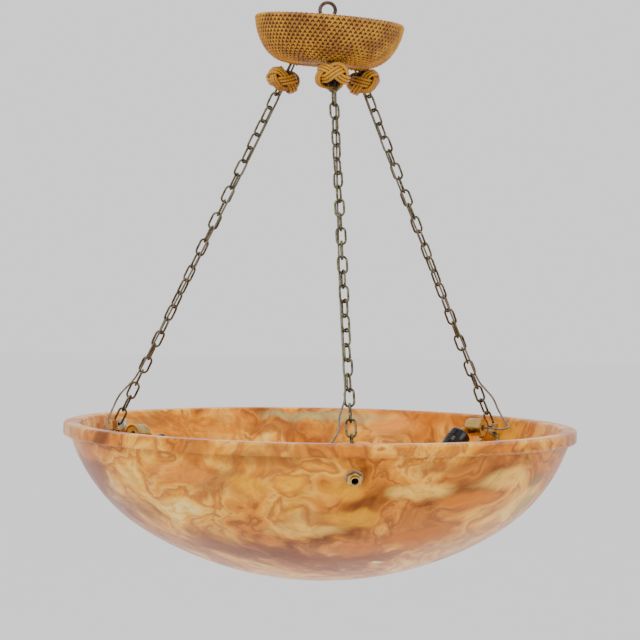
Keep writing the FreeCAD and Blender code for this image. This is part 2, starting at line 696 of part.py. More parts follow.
def bracket():
    """The pressed steel bracket: eye, neck, joggle and a flanged head with three holes."""
    top = -RIM_DROP - BRACKET_TOP_DROP
    foot = top - BRACKET_HEAD_H
    middle = on_nipple(bracket_place())
    low = middle - WALL_UP * BRACKET_EYE_R
    high = middle + WALL_UP * BRACKET_FLAT_H
    line = [(-low.y, low.z), (-high.y, high.z), (HEAD_R, foot), (HEAD_R, top)]
    blank = strip(line, BRACKET_T, 2 * BRACKET_TOP_W)
    near = at(HEAD_R - 20, 0, 0)

    def face_on(*corners):
        loop = [V(b, near.y, z) for b, z in corners + corners[:1]]
        return Part.Face(Part.makePolygon(loop)).extrude(V(0, -50, 0))

    wide, narrow, neck = BRACKET_TOP_W / 2, BRACKET_FOOT_W / 2, BRACKET_NECK_W / 2
    shape = face_on((-wide, top + 1), (wide, top + 1), (narrow, foot - 1.5), (-narrow, foot - 1.5))
    shape = shape.fuse([face_on((-neck, foot), (neck, foot), (neck, middle.z), (-neck, middle.z)),
                        rod(BRACKET_EYE_R, middle - WALL_OUT * 3, middle + WALL_OUT * 3)])
    sheet = blank.common(shape)
    flanges = []
    for sign in (1, -1):
        edge = [(sign * wide, top), (sign * narrow, foot)]
        inner = [(sign * (narrow - BRACKET_T), foot), (sign * (wide - BRACKET_T), top)]
        loop = [V(b, -HEAD_R, z) for b, z in edge + inner + edge[:1]]
        flanges.append(Part.Face(Part.makePolygon(loop)).extrude(V(0, BRACKET_FLANGE, 0)))
    sheet = sheet.fuse(flanges)
    hole_z = top - BRACKET_BAR_H - BRACKET_HOLE_R
    holes = [rod(NIPPLE_R + THREAD_PLAY, middle - WALL_OUT * 4, middle + WALL_OUT * 4)]
    for b, radius in ((0, BRACKET_HOLE_R), (BRACKET_SIDE_HOLE_B, BRACKET_SIDE_HOLE_R),
                      (-BRACKET_SIDE_HOLE_B, BRACKET_SIDE_HOLE_R)):
        holes.append(rod(radius, at(HEAD_R - 2, b, hole_z), at(HEAD_R + 2, b, hole_z)))
    return sheet.cut(holes).removeSplitter()


# ================================================================ lamp cup, arm, lampholder
def pivot_point(cup_z):
    """The lampholder's pivot, beside and just below the cup's axis."""
    mouth, into = cup_axis()
    travel = (PIVOT_B - mouth.x) / into.x
    return V(PIVOT_B, mouth.y + into.y * travel + PIVOT_OUT, cup_z - PIVOT_DOWN)


def lamp_cup(cup_z):
    """The brass cup with its brazed lug."""
    mouth, into = cup_axis()
    start = V(mouth.x, mouth.y, cup_z)
    r, t, length, curve = CUP_R, CUP_WALL, CUP_LENGTH, CUP_ROUND
    shell = spun((r - t, 0), (r, 0), (r, length - curve), bend((r - curve, length - curve), curve, 0, 90),
                 (0, length), (0, length - t), (r - curve, length - t),
                 bend((r - curve, length - curve), curve - t, 90, 0))
    shell = along(shell, start, into)
    pivot = pivot_point(cup_z)
    lug = Part.makeCylinder(LUG_R, LUG_T, pivot - V(LUG_T / 2, 0, 0), V(1, 0, 0))
    bar = Part.makeBox(LUG_T, PIVOT_OUT, 2 * LUG_R - 1, pivot - V(LUG_T / 2, PIVOT_OUT, LUG_R - 0.5))
    hollow = along(Part.makeCylinder(r - t / 2, 2 * length, V(0, 0, -length / 2)), start, into)
    pin = Part.makeCylinder(PIN_R + PIN_PLAY, 20, pivot - V(10, 0, 0), V(1, 0, 0))
    return shell.fuse(lug.fuse(bar).cut(hollow)).cut(pin).removeSplitter()


def cord_bush(cup_z):
    """The insulating bush just inside the cup's mouth."""
    mouth, into = cup_axis()
    bush = spun((BUSH_BORE_R, 0.8), bend((BUSH_BORE_R + 0.8, 0.8), 0.8, 180, 90),
                (CUP_R - CUP_WALL - FACE_GAP, 0), (CUP_R - CUP_WALL - FACE_GAP, BUSH_T),
                (BUSH_BORE_R, BUSH_T))
    return along(bush, V(mouth.x, mouth.y, cup_z) + into * 1.2, into)


def lamp_arm(cup_z, start):
    """The hexagonal coupling on the nipple and the rod to the cup."""
    base = on_nipple(start - COUPLING_L)
    coupling = along(hexagon(COUPLING_AF, COUPLING_L), base, WALL_OUT)
    end = on_nipple(-BOWL_WALL - NIPPLE_IN - 0.5)
    bore = rod(NIPPLE_R + THREAD_PLAY, end, on_nipple(0))
    mouth, into = cup_axis()
    travel = (ARM_MEETS_B - mouth.x) / into.x
    aim = V(ARM_MEETS_B, mouth.y + into.y * travel, cup_z)
    knee = base - WALL_OUT * ARM_KNEE
    bar = rod(ARM_R, base + WALL_OUT * 1.5, knee).fuse([Part.makeSphere(ARM_R, knee),
                                                       rod(ARM_R, knee, aim)])
    around = along(Part.makeCylinder(CUP_R + FACE_GAP, 3 * CUP_LENGTH, V(0, 0, -CUP_LENGTH)),
                   V(mouth.x, mouth.y, cup_z), into)
    return coupling.cut(bore).fuse(bar.cut(around)).removeSplitter()


LAMP_AXIS = V(0, math.cos(math.radians(LAMP_DIP)), -math.sin(math.radians(LAMP_DIP)))
BODY_W = CAP_H + FACE_GAP
BASE_W = BODY_W + 0.5
SHELL_W = BASE_W + BASE_T + FACE_GAP
CONTACT_W = BASE_W + BASE_T - CONTACT_T


def lampholder(cup_z):
    """The pieces of one lampholder in order from its pivot: {name: shape}."""
    pivot = pivot_point(cup_z)
    end = pivot + LAMP_AXIS * FORK_REACH
    across = LUG_T / 2.0 + FORK_GAP
    fork = along(Part.makeCylinder(FORK_BASE_R, FORK_BASE_T), end - LAMP_AXIS * (FORK_BASE_T + FACE_GAP),
                 LAMP_AXIS)
    for sign in (1, -1):
        side = pivot + V(sign * (across + FORK_EAR_T / 2.0), 0, 0)
        ear = Part.makeCylinder(2.6, FORK_EAR_T, side - V(FORK_EAR_T / 2, 0, 0), V(1, 0, 0))
        leg = Part.makeBox(FORK_EAR_T, 5.2, FORK_REACH - FACE_GAP, V(-FORK_EAR_T / 2, -2.6, 0))
        fork = fork.fuse([ear, along(leg, side, LAMP_AXIS)])
    reach = across + FORK_EAR_T + 0.8
    fork = fork.fuse(rod(PIN_R, pivot - V(reach, 0, 0), pivot + V(reach, 0, 0)))
    r, t = CAP_R, BAKELITE_T
    cap = spun((2.0, 0), (r - 3, 0), bend((r - 3, 3), 3, -90, 0), (r, CAP_H), (r - t, CAP_H),
               (r - t, t + 1.5), (r - t - 1.5, t), (2.0, t))
    steps = [(BODY_BORE_R, 0), (BODY_R, 0)]
    for k in range(RIBS):
        low = 1.0 + k * RIB_PITCH
        steps += [(BODY_R, low), bend((BODY_R, low + 0.8), RIB_R - BODY_R, -60, 60)]
    steps += [(BODY_R, BODY_L - 3), (BODY_R + 0.9, BODY_L - 2), (BODY_R + 0.9, BODY_L),
              (BODY_BORE_R, BODY_L)]
    body = spun(*steps)
    recess = BASE_T - CONTACT_T - FACE_GAP
    base = Part.makeCylinder(BODY_BORE_R - BASE_PLAY, BASE_T)
    base = base.cut(Part.makeCylinder(CONTACT_R + CONTACT_PLAY, BASE_T, V(0, 0, recess)))
    shell = washer(SHELL_BORE_R + SHELL_T, SHELL_BORE_R, SHELL_L)
    contact = spun((0, 0), (CONTACT_R, 0), (CONTACT_R, CONTACT_T * 0.5), (1.2, CONTACT_T), (0, CONTACT_T))
    pieces = {"knuckle": fork.removeSplitter()}
    for name, shape, w in (("lamp_cap", cap, 0.0), ("lamp_body", body, BODY_W),
                           ("lamp_base", base, BASE_W), ("screw_shell", shell, SHELL_W),
                           ("centre_contact", contact, CONTACT_W)):
        pieces[name] = along(shape, end + LAMP_AXIS * w, LAMP_AXIS)
    return pieces


# ================================================================ build
def build():
    """Make every node once and write it."""
    nodes = {
        "ceiling_eye": ceiling_eye(),
        "hanger_spider": spider(),
        "terminal_block": terminal_block(),
        "canopy_cover": canopy_cover(),
        "canopy_cup": canopy_cup(),
        "bowl": bowl(),
    }
    m6_nut = hex_nut(NUT_M6_AF, NUT_M6_H, SHANK_R + THREAD_PLAY)
    for name, z in (("spider_upper_nut", UPPER_NUT_Z), ("spider_lower_nut", LOWER_NUT_Z),
                    ("canopy_nut", CAP_NUT_Z)):
        nodes[name] = along(m6_nut, V(0, 0, z), V(0, 0, 1))
    seat = washer(WASHER_R, SHANK_R + 0.8, WASHER_T)
    for name, z in (("canopy_upper_washer", CUP_FLOOR_Z + FACE_GAP),
                    ("canopy_lower_washer", CUP_FLOOR_Z - CUP_T - FACE_GAP - WASHER_T)):
        nodes[name] = tilted(along(seat, V(0, 0, z), V(0, 0, 1)))

    fixing, fixing_end = wall_fixing()
    grouped = {name: [] for name in list(fixing) + ["chain_hooks", "hook_nuts", "cord_bushes"]}
    one_chain, one_knot, one_bracket = chain(), knot(), bracket()
    for name, step, hand, rise in HANGERS:
        cup_z = -RIM_DROP - CUP_DROP + rise
        for key, shape in list(fixing.items()) + [("chain_hooks", chain_hook()),
                                                  ("hook_nuts", hook_nut()),
                                                  ("cord_bushes", cord_bush(cup_z))]:
            grouped[key].append(to_hanger(shape, step, hand))
        own = {"chain": one_chain, "knot": one_knot, "bracket": one_bracket,
               "lamp_cup": lamp_cup(cup_z), "lamp_arm": lamp_arm(cup_z, fixing_end),
               "lamp_cord": tube(f"lamp_cord_{name}", lamp_cord(cup_z), CORD_R),
               "supply_cord": tube(f"supply_cord_{name}", supply_cord(), CORD_R)}
        own.update(lampholder(cup_z))
        for key, shape in own.items():
            nodes[f"{key}_{name}"] = to_hanger(shape, step, hand)
        places = {"chain hook": HOOK_POINT, "lamp pivot": pivot_point(cup_z),
                  "socket": pivot_point(cup_z) + LAMP_AXIS * (FORK_REACH + SHELL_W + SHELL_L / 2)}
        for key, point in places.items():
            spot = hanger_point(point, step, hand)
            print(f"{key} {name}: {spot.x:.4f} {spot.y:.4f} {spot.z:.4f}")
        for key, axis in (("lamp axis", LAMP_AXIS), ("pivot axis", V(1, 0, 0))):
            way = hanger_point(axis, step, 1)
            print(f"{key} {name}: {way.x:.6f} {way.y:.6f} {way.z:.6f}")
    for name, shapes in grouped.items():
        nodes[name] = group(shapes)

    os.makedirs("parts", exist_ok=True)
    for name, shape in nodes.items():
        save(shape, name)
    foot_r = -CHAIN_FOOT.y
    ratio = foot_r / (foot_r - HOOK_CIRCLE_R)
    apex = -HOOK_DROP + (ratio - 1) * (HOOK_POINT.z - CHAIN_FOOT.z)
    print(f"sway axis height {apex:.4f}, chain ratio {ratio:.6f}, link pitch {PITCH:.3f}")
    print(f"canopy pivot height {TILT_POINT.z:.4f}, nodes {len(nodes)}")


build()
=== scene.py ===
"""Looks of an alabaster bowl pendant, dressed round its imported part.

A polished stone bowl hangs on three twisted link chains from a canopy that is netted
over with gold cord.  Each chain starts in a woven cord knot.  The frame is the part's:
origin at the ceiling ring, +Z up, -Y towards the viewer, metres.
"""
import logging
import math
from dataclasses import dataclass, field
from enum import Enum

import bpy
import numpy as np
from mathutils import Matrix, Vector


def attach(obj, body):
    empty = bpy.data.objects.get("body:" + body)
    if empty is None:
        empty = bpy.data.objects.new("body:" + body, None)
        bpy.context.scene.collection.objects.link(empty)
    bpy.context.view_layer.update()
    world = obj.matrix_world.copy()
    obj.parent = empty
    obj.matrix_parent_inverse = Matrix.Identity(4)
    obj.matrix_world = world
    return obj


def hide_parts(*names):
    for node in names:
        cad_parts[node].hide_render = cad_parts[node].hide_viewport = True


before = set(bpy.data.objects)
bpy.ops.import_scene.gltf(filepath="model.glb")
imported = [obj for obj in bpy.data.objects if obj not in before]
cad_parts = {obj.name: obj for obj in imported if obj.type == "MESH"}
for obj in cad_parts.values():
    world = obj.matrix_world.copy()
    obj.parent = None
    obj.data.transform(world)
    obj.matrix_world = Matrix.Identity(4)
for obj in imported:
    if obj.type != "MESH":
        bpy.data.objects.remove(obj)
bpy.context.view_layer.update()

LOG = logging.getLogger("pendant")
MM = 0.001
Array = np.ndarray
Pair = tuple[float, float]
Triple = tuple[float, float, float]
Colour = Triple


# ---------------------------------------------------------------- layout of the hangers
class Hand(Enum):
    """Which way round a hanger is built: the number multiplies its sideways coordinate."""

    PLAIN = 1
    MIRRORED = -1


@dataclass(frozen=True)
class Hanger:
    """One of the three chains with what hangs on it."""

    name: str
    turn: float                 # degrees from -Y towards +X
    hand: Hand
    rise: float                 # height of its lamp cup above the middle one, mm

    def place(self, points: Array) -> Array:
        """Turn local millimetres (b sideways, -r, z) into the row frame in metres.

        Args:
            points: array whose last axis is (b, -r, z) of a hanger at the very front.

        Returns:
            The same points, mirrored for a left hand, turned by the azimuth, in metres.
        """
        c, s = math.cos(math.radians(self.turn)), math.sin(math.radians(self.turn))
        b, y, z = points[..., 0] * self.hand.value, points[..., 1], points[..., 2]
        return np.stack([c * b - s * y, s * b + c * y, z], axis=-1) * MM


HANGERS = (Hanger("front", 7.5, Hand.PLAIN, 0.0), Hanger("right", 127.5, Hand.PLAIN, 5.0),
           Hanger("left", 247.5, Hand.MIRRORED, -5.0))


@dataclass(frozen=True)
class ChainLine:
    """The straight line of a chain at the very front, in millimetres."""

    hook: Triple = (0.0, -51.5, -75.5)
    foot: Triple = (0.0, -249.114, -463.539)
    links: int = 26
    wire_r: float = 1.25
    bend_r: float = 4.75
    play: float = 0.3

    @property
    def up(self) -> Array:
        """Direction from the foot to the hook."""
        way = np.subtract(self.hook, self.foot)
        return way / np.linalg.norm(way)

    @property
    def side(self) -> Array:
        """Direction sideways."""
        return np.array([1.0, 0.0, 0.0])

    @property
    def out(self) -> Array:
        """Direction square to the chain, away from the lamp's axis."""
        return np.cross(self.side, self.up)

    @property
    def length(self) -> float:
        """Distance from hook to foot."""
        return float(np.linalg.norm(np.subtract(self.hook, self.foot)))

    @property
    def pitch(self) -> float:
        """Distance from one link to the next."""
        return (self.length - 2 * self.wire_r - self.play) / self.links

    @property
    def twist(self) -> float:
        """Degrees that each link turns beyond the quarter turn."""
        return 180.0 / (self.links - 1)

    def around(self, distance: Array, degrees: Array, offset: Array) -> Array:
        """Points beside the line: hook - up * distance + offset * (cos a * out + sin a * side).

        Args:
            distance: millimetres below the hook.
            degrees: angle round the line.
            offset: millimetres from the line.

        Returns:
            Points in the local frame, one row for each distance.
        """
        a = np.radians(degrees)[..., None]
        ring = np.cos(a) * self.out + np.sin(a) * self.side
        return np.array(self.hook) - distance[..., None] * self.up + offset[..., None] * ring


LINE = ChainLine()


# ---------------------------------------------------------------- surfaces
def unit(vectors: Array) -> Array:
    """Each vector divided by its own length."""
    return vectors / np.linalg.norm(vectors, axis=-1, keepdims=True)


def tube_grid(centre: Array, normal: Array, radius: float | Array, sides: int,
              closed: bool) -> Array:
    """Tubes round one or many paths.

    A point is centre + radius * (cos a * n + sin a * t x n), with t the path's direction,
    n the normal made square to it, and a going once round.

    Args:
        centre: points of the paths, (..., points, 3).
        normal: a direction for each point that isn't along the path.
        radius: one radius, or one for each point.
        sides: number of points round the tube.
        closed: True where each path ends where it starts.

    Returns:
        Array (..., points, sides, 3).
    """
    if closed:
        tangent = np.roll(centre, -1, axis=-2) - np.roll(centre, 1, axis=-2)
    else:
        tangent = np.gradient(centre, axis=-2)
    tangent = unit(tangent)
    normal = unit(normal - (normal * tangent).sum(-1, keepdims=True) * tangent)
    across = np.cross(tangent, normal)
    a = np.arange(sides) * (2 * math.pi / sides)
    ring = (np.cos(a)[:, None] * normal[..., None, :] + np.sin(a)[:, None] * across[..., None, :])
    return centre[..., None, :] + np.asarray(radius)[..., None, None] * ring


def piece_from_grids(name: str, grids: Array, closed_u: bool, closed_v: bool,
                     caps: bool = False, flip: bool = False) -> bpy.types.Object:
    """One smooth mesh from one or many grids of points.

    Corner (i, j) joins (i, j+1), (i+1, j+1) and (i+1, j).  The UV map holds the metres
    along the grid's middle line in u and the share round it in v.

    Args:
        name: the piece's name.
        grids: points (..., nu, nv, 3) in metres, the row frame.
        closed_u: the last row joins the first.
        closed_v: the last column joins the first.
        caps: close the two ends of each tube with a face.
        flip: turn all the faces round.

    Returns:
        The new object, linked to the scene, at the origin.
    """
    nu, nv = grids.shape[-3], grids.shape[-2]
    points = grids.reshape(-1, nu, nv, 3)
    count = len(points)
    i, j = np.meshgrid(np.arange(nu if closed_u else nu - 1),
                       np.arange(nv if closed_v else nv - 1), indexing="ij")
    i4 = np.stack([i, i, i + 1, i + 1], -1).reshape(-1, 4)
    j4 = np.stack([j, j + 1, j + 1, j], -1).reshape(-1, 4)
    if flip:
        i4, j4 = i4[:, ::-1], j4[:, ::-1]
    quads = (i4 % nu) * nv + j4 % nv
    quads = (quads[None] + (np.arange(count) * nu * nv)[:, None, None]).reshape(-1, 4)

    middle = points.mean(axis=2)
    steps = np.linalg.norm(np.roll(middle, -1, axis=1) - middle, axis=-1)
    along = np.concatenate([np.zeros((count, 1)), np.cumsum(steps, axis=1)], axis=1)
    uv = np.stack([along[:, i4], np.broadcast_to(j4 / nv, (count, *j4.shape))], -1)
    faces = quads.tolist()
    uv = uv.reshape(-1, 2)
    if caps:
        ring = np.arange(nv)
        starts = (np.arange(count) * nu * nv)[:, None]
        first, last = starts + ring[::-1], starts + (nu - 1) * nv + ring
        ends = np.concatenate([first, last])
        ends = ends[:, ::-1] if flip else ends
        faces += ends.tolist()
        uv = np.concatenate([uv, np.zeros((ends.size, 2))])
    mesh = bpy.data.meshes.new(name)
    mesh.from_pydata(points.reshape(-1, 3).tolist(), [], faces)
    layer = mesh.uv_layers.new(name="along")
    layer.data.foreach_set("uv", uv.astype(np.float32).ravel())
    mesh.polygons.foreach_set("use_smooth", np.ones(len(mesh.polygons), bool))
    mesh.update()
    thing = bpy.data.objects.new(name, mesh)
    bpy.context.scene.collection.objects.link(thing)
    LOG.info("%s: %d faces", thing.name, len(thing.data.polygons))
    return thing


def revolve_grid(profile: Array, sides: int) -> Array:
    """A profile of (radius, height) turned once round Z: (r cos a, r sin a, z).

    Args:
        profile: array (points, 2) in any unit.
        sides: number of steps round the axis.

    Returns:
        Array (points, sides, 3) in the same unit.
    """
    a = np.arange(sides) * (2 * math.pi / sides)
    r, z = profile[:, 0][:, None], profile[:, 1][:, None]
    return np.stack([r * np.cos(a), r * np.sin(a), np.broadcast_to(z, (len(profile), sides))], -1)


# ---------------------------------------------------------------- shader building
class Nodes:
    """A short way to add and join the nodes of one shader tree."""

    def __init__(self, tree: bpy.types.NodeTree) -> None:
        """Work on this tree."""
        self.tree = tree

    def add(self, kind: str, inputs: dict | None = None, **settings) -> bpy.types.Node:
        """Add a node, set its properties and fill or join its inputs.

        Args:
            kind: the node's type without the word ShaderNode.
            inputs: input name or number to a value, or to an output to join.
            **settings: the node's own properties.

        Returns:
            The node.
        """
        node = self.tree.nodes.new(kind if kind.startswith("Node") else "ShaderNode" + kind)
        for key, value in settings.items():
            setattr(node, key, value)
        self.fill(node, inputs or {})
        return node

    def fill(self, node: bpy.types.Node, inputs: dict) -> None:
        """Set a node's inputs to values, or join them where the value is an output."""
        for key, value in inputs.items():
            if isinstance(value, bpy.types.NodeSocket):
                self.tree.links.new(value, node.inputs[key])
            else:
                node.inputs[key].default_value = value

    def math(self, operation: str, a: object, b: object = 0.0) -> object:
        """The output of a Math node."""
        return self.add("Math", {0: a, 1: b}, operation=operation).outputs[0]

    def vector(self, operation: str, a: object, b: Triple = (0.0, 0.0, 0.0),
               output: int = 0) -> object:
        """The output of a Vector Math node."""
        return self.add("VectorMath", {0: a, 1: b}, operation=operation).outputs[output]

    def mix(self, share: object, a: object, b: object) -> object:
        """The colour output of a Mix node between colours a and b."""
        a = (*a, 1.0) if isinstance(a, tuple) and len(a) == 3 else a
        b = (*b, 1.0) if isinstance(b, tuple) and len(b) == 3 else b
        return self.add("Mix", {0: share, 6: a, 7: b}, data_type="RGBA").outputs[2]

    def noise(self, place: object, scale: object, detail: float = 4.0, rough: float = 0.55,
              warp: float = 0.0, colour: bool = False) -> object:
        """The value, or the colour, of a Noise Texture."""
        node = self.add("TexNoise", {"Vector": place, "Scale": scale, "Detail": detail,
                                     "Roughness": rough, "Distortion": warp})
        return node.outputs["Color" if colour else "Fac"]

    def band(self, value: object, low: float, high: float, to_low: float = 0.0,
             to_high: float = 1.0) -> object:
        """A smooth step of a value from low to high."""
        node = self.add("MapRange", {"Value": value, "From Min": low, "From Max": high,
                                     "To Min": to_low, "To Max": to_high},
                        interpolation_type="SMOOTHSTEP")
        return node.outputs[0]

    def ramp(self, share: object, stops: tuple[tuple[float, Colour], ...]) -> object:
        """The colour of a Color Ramp with these (position, colour) stops."""
        node = self.add("ValToRGB", {"Fac": share})
        elements = node.color_ramp.elements
        elements[0].position, elements[-1].position = stops[0][0], stops[-1][0]
        for position, _ in stops[1:-1]:
            elements.new(position)
        for element, (_, colour) in zip(elements, stops):
            element.color = (*colour, 1.0)
        return node.outputs["Color"]


class ShaderGroup:
    """A node group with named sockets that several materials place with their own values."""

    def __init__(self, name: str, inputs: dict[str, tuple[str, object]],
                 outputs: dict[str, str]) -> None:
        """Make the group's sockets and its own input and output nodes.

        Args:
            name: the group's name.
            inputs: socket name to (Float, Color or Vector; default value).
            outputs: socket name to Float, Color or Vector.
        """
        self.tree = bpy.data.node_groups.new(name, "ShaderNodeTree")
        for key, (kind, value) in inputs.items():
            socket = self.tree.interface.new_socket(key, in_out="INPUT",
                                                    socket_type="NodeSocket" + kind)
            if value is not None:
                socket.default_value = value
        for key, kind in outputs.items():
            self.tree.interface.new_socket(key, in_out="OUTPUT", socket_type="NodeSocket" + kind)
        self.nodes = Nodes(self.tree)
        self.source = self.nodes.add("NodeGroupInput")
        self.target = self.nodes.add("NodeGroupOutput")

    def give(self, key: str, value: object) -> None:
        """Join a value to one of the group's outputs."""
        self.tree.links.new(value, self.target.inputs[key])

    def place(self, nodes: Nodes, inputs: dict) -> bpy.types.Node:
        """Add the group to a material's tree with its own values."""
        return nodes.add("Group", inputs, node_tree=self.tree)


def wear_group() -> ShaderGroup:
    """Patchy age on metal and plastic: a clean and a dull colour mixed by two noises.

    Dull share = smooth step of (coarse noise * 0.65 + fine noise * 0.35) round 1 - Amount.
    """
    group = ShaderGroup("age_patches",
                        {"Clean": ("Color", None), "Dull": ("Color", None),
                         "Amount": ("Float", 0.5), "Scale": ("Float", 120.0),
                         "Smooth": ("Float", 0.3), "Rough": ("Float", 0.6)},
                        {"Colour": "Color", "Roughness": "Float", "Height": "Float"})
    n, source = group.nodes, group.source.outputs
    place = n.add("TexCoord").outputs["Object"]
    coarse = n.noise(place, source["Scale"], 5.0, 0.6, 0.4)
    fine = n.noise(place, n.math("MULTIPLY", source["Scale"], 6.0), 3.0, 0.7)
    both = n.math("ADD", n.math("MULTIPLY", coarse, 0.65), n.math("MULTIPLY", fine, 0.35))
    raised = n.math("ADD", both, n.math("SUBTRACT", source["Amount"], 0.5))
    share = n.band(raised, 0.40, 0.62)
    group.give("Colour", n.mix(share, source["Clean"], source["Dull"]))
    spread = n.math("MULTIPLY", share, n.math("SUBTRACT", source["Rough"], source["Smooth"]))
    group.give("Roughness", n.math("ADD", source["Smooth"], spread))
    group.give("Height", both)
    return group


def strand_group() -> ShaderGroup:
    """Twisted yarn on a tube's own UV map.

    Height = |sin(pi * (turns along the tube + share round it * strands))|; the second output
    masks its low parts between the strands, for painted shade.
    """
    group = ShaderGroup("twisted_strands",
                        {"Turns": ("Float", 300.0), "Strands": ("Float", 3.0)},
                        {"Height": "Float", "GrooveShade": "Float"})
    n, source = group.nodes, group.source.outputs
    parts = n.add("SeparateXYZ", {0: n.add("UVMap", uv_map="along").outputs[0]})
    turned = n.math("ADD", n.math("MULTIPLY", parts.outputs[0], source["Turns"]),
                    n.math("MULTIPLY", parts.outputs[1], source["Strands"]))
    wave = n.math("ABSOLUTE", n.math("SINE", n.math("MULTIPLY", turned, math.pi)))
    group.give("Height", wave)
    group.give("GrooveShade", n.band(wave, 0.45, 0.0))
    return group


WEAR = wear_group()
STRANDS = strand_group()
MADE: dict[str, bpy.types.Material] = {}


@dataclass(frozen=True)
class Finish:
    """What every finish has: a name and the record's slot that it stands for."""

    name: str
    slot: str

    def start(self) -> tuple[bpy.types.Material, Nodes, bpy.types.Node]:
        """A material with its shader and output joined.

        Returns:
            The material, its nodes and its Principled BSDF.
        """
        material = bpy.data.materials.new(self.name)
        material.use_nodes = True
        material.node_tree.nodes.clear()
        nodes = Nodes(material.node_tree)
        shader = nodes.add("BsdfPrincipled")
        nodes.add("OutputMaterial", {"Surface": shader.outputs[0]})
        return material, nodes, shader

    def material(self) -> bpy.types.Material:
        """The finished material."""
        raise NotImplementedError

    def dress(self, *things: bpy.types.Object) -> None:
        """Give the finish to objects, made once and shared.

        Args:
            *things: the objects to dress.
        """
        if self.name not in MADE:
            MADE[self.name] = self.material()
        material = MADE[self.name]
        for thing in things:
            thing.data.materials.clear()
            thing.data.materials.append(material)


@dataclass(frozen=True)
class AgedSurface(Finish):
    """Metal, plastic, china or felt with patches of age."""

    clean: Colour
    dull: Colour
    metallic: float
    smooth: float               # roughness of the clean parts
    rough: float                # and of the dull ones
    amount: float = 0.5         # how much is dull
    scale: float = 120.0        # patches in a metre
    bump: float = 0.1
    coat: float = 0.0
    sheen: float = 0.0
    gloss: float = 0.5

    def material(self) -> bpy.types.Material:
        """Two colours and two roughnesses mixed by the age group."""
        material, nodes, shader = self.start()
        age = WEAR.place(nodes, {"Clean": (*self.clean, 1.0), "Dull": (*self.dull, 1.0),
                                 "Amount": self.amount, "Scale": self.scale,
                                 "Smooth": self.smooth, "Rough": self.rough})
        bump = nodes.add("Bump", {"Height": age.outputs["Height"], "Strength": self.bump,
                                  "Distance": 0.2 * MM})
        nodes.fill(shader, {"Base Color": age.outputs["Colour"],
                            "Roughness": age.outputs["Roughness"], "Normal": bump.outputs[0],
                            "Metallic": self.metallic, "Coat Weight": self.coat,
                            "Coat Roughness": 0.12, "Sheen Weight": self.sheen,
                            "Specular IOR Level": self.gloss})
        return material


@dataclass(frozen=True)
class SilkCord(Finish):
    """Twisted silk cord with painted shade in the grooves of the twist, and darker in worn
    patches.
    """

    light: Colour
    deep: Colour
    # colour of the painted shade in the grooves between the strands
    groove_shade: Colour
    turns: float                # of the twist, in a metre
    strands: float = 3.0
    patch_scale: float = 35.0
    roughness: float = 0.38

    def material(self) -> bpy.types.Material:
        """Patches of two golds, with painted shade darkening the grooves between the strands."""
        material, nodes, shader = self.start()
        place = nodes.add("TexCoord").outputs["Object"]
        patches = nodes.band(nodes.noise(place, self.patch_scale, 5.0, 0.65), 0.35, 0.68)
        twist = STRANDS.place(nodes, {"Turns": self.turns, "Strands": self.strands})
        gold = nodes.mix(patches, self.light, self.deep)
        shade = nodes.math("MULTIPLY", twist.outputs["GrooveShade"], 0.6)
        bump = nodes.add("Bump", {"Height": twist.outputs["Height"], "Strength": 0.5,
                                  "Distance": 0.25 * MM})
        nodes.fill(shader, {"Base Color": nodes.mix(shade, gold, self.groove_shade),
                            "Normal": bump.outputs[0], "Roughness": self.roughness,
                            "Specular IOR Level": 0.4, "Sheen Weight": 0.03,
                            "Sheen Roughness": 0.4})
        return material


@dataclass(frozen=True)
class ClearCord(Finish):
    """Aged clear sleeve over a tinned twisted pair."""

    bright: Colour
    shadow: Colour

    def material(self) -> bpy.types.Material:
        """Olive and brown grains under a thin clear coat."""
        material, nodes, shader = self.start()
        place = nodes.add("TexCoord").outputs["Object"]
        grain = nodes.noise(place, 420.0, 3.0, 0.6, 1.5)
        colour = nodes.mix(nodes.band(grain, 0.38, 0.62), self.bright, self.shadow)
        nodes.fill(shader, {"Base Color": colour, "Metallic": 0.35, "Coat Weight": 0.25,
                            "Roughness": nodes.band(grain, 0.3, 0.7, 0.25, 0.45)})
        return material


@dataclass(frozen=True)
class Zone:
    """A cloud of colour in the stone, or a painted glint on it, given in millimetres."""

    place: Triple
    reach: Triple
    colour: Colour
    amount: float
    broken: float               # how far the clouds break its edge up


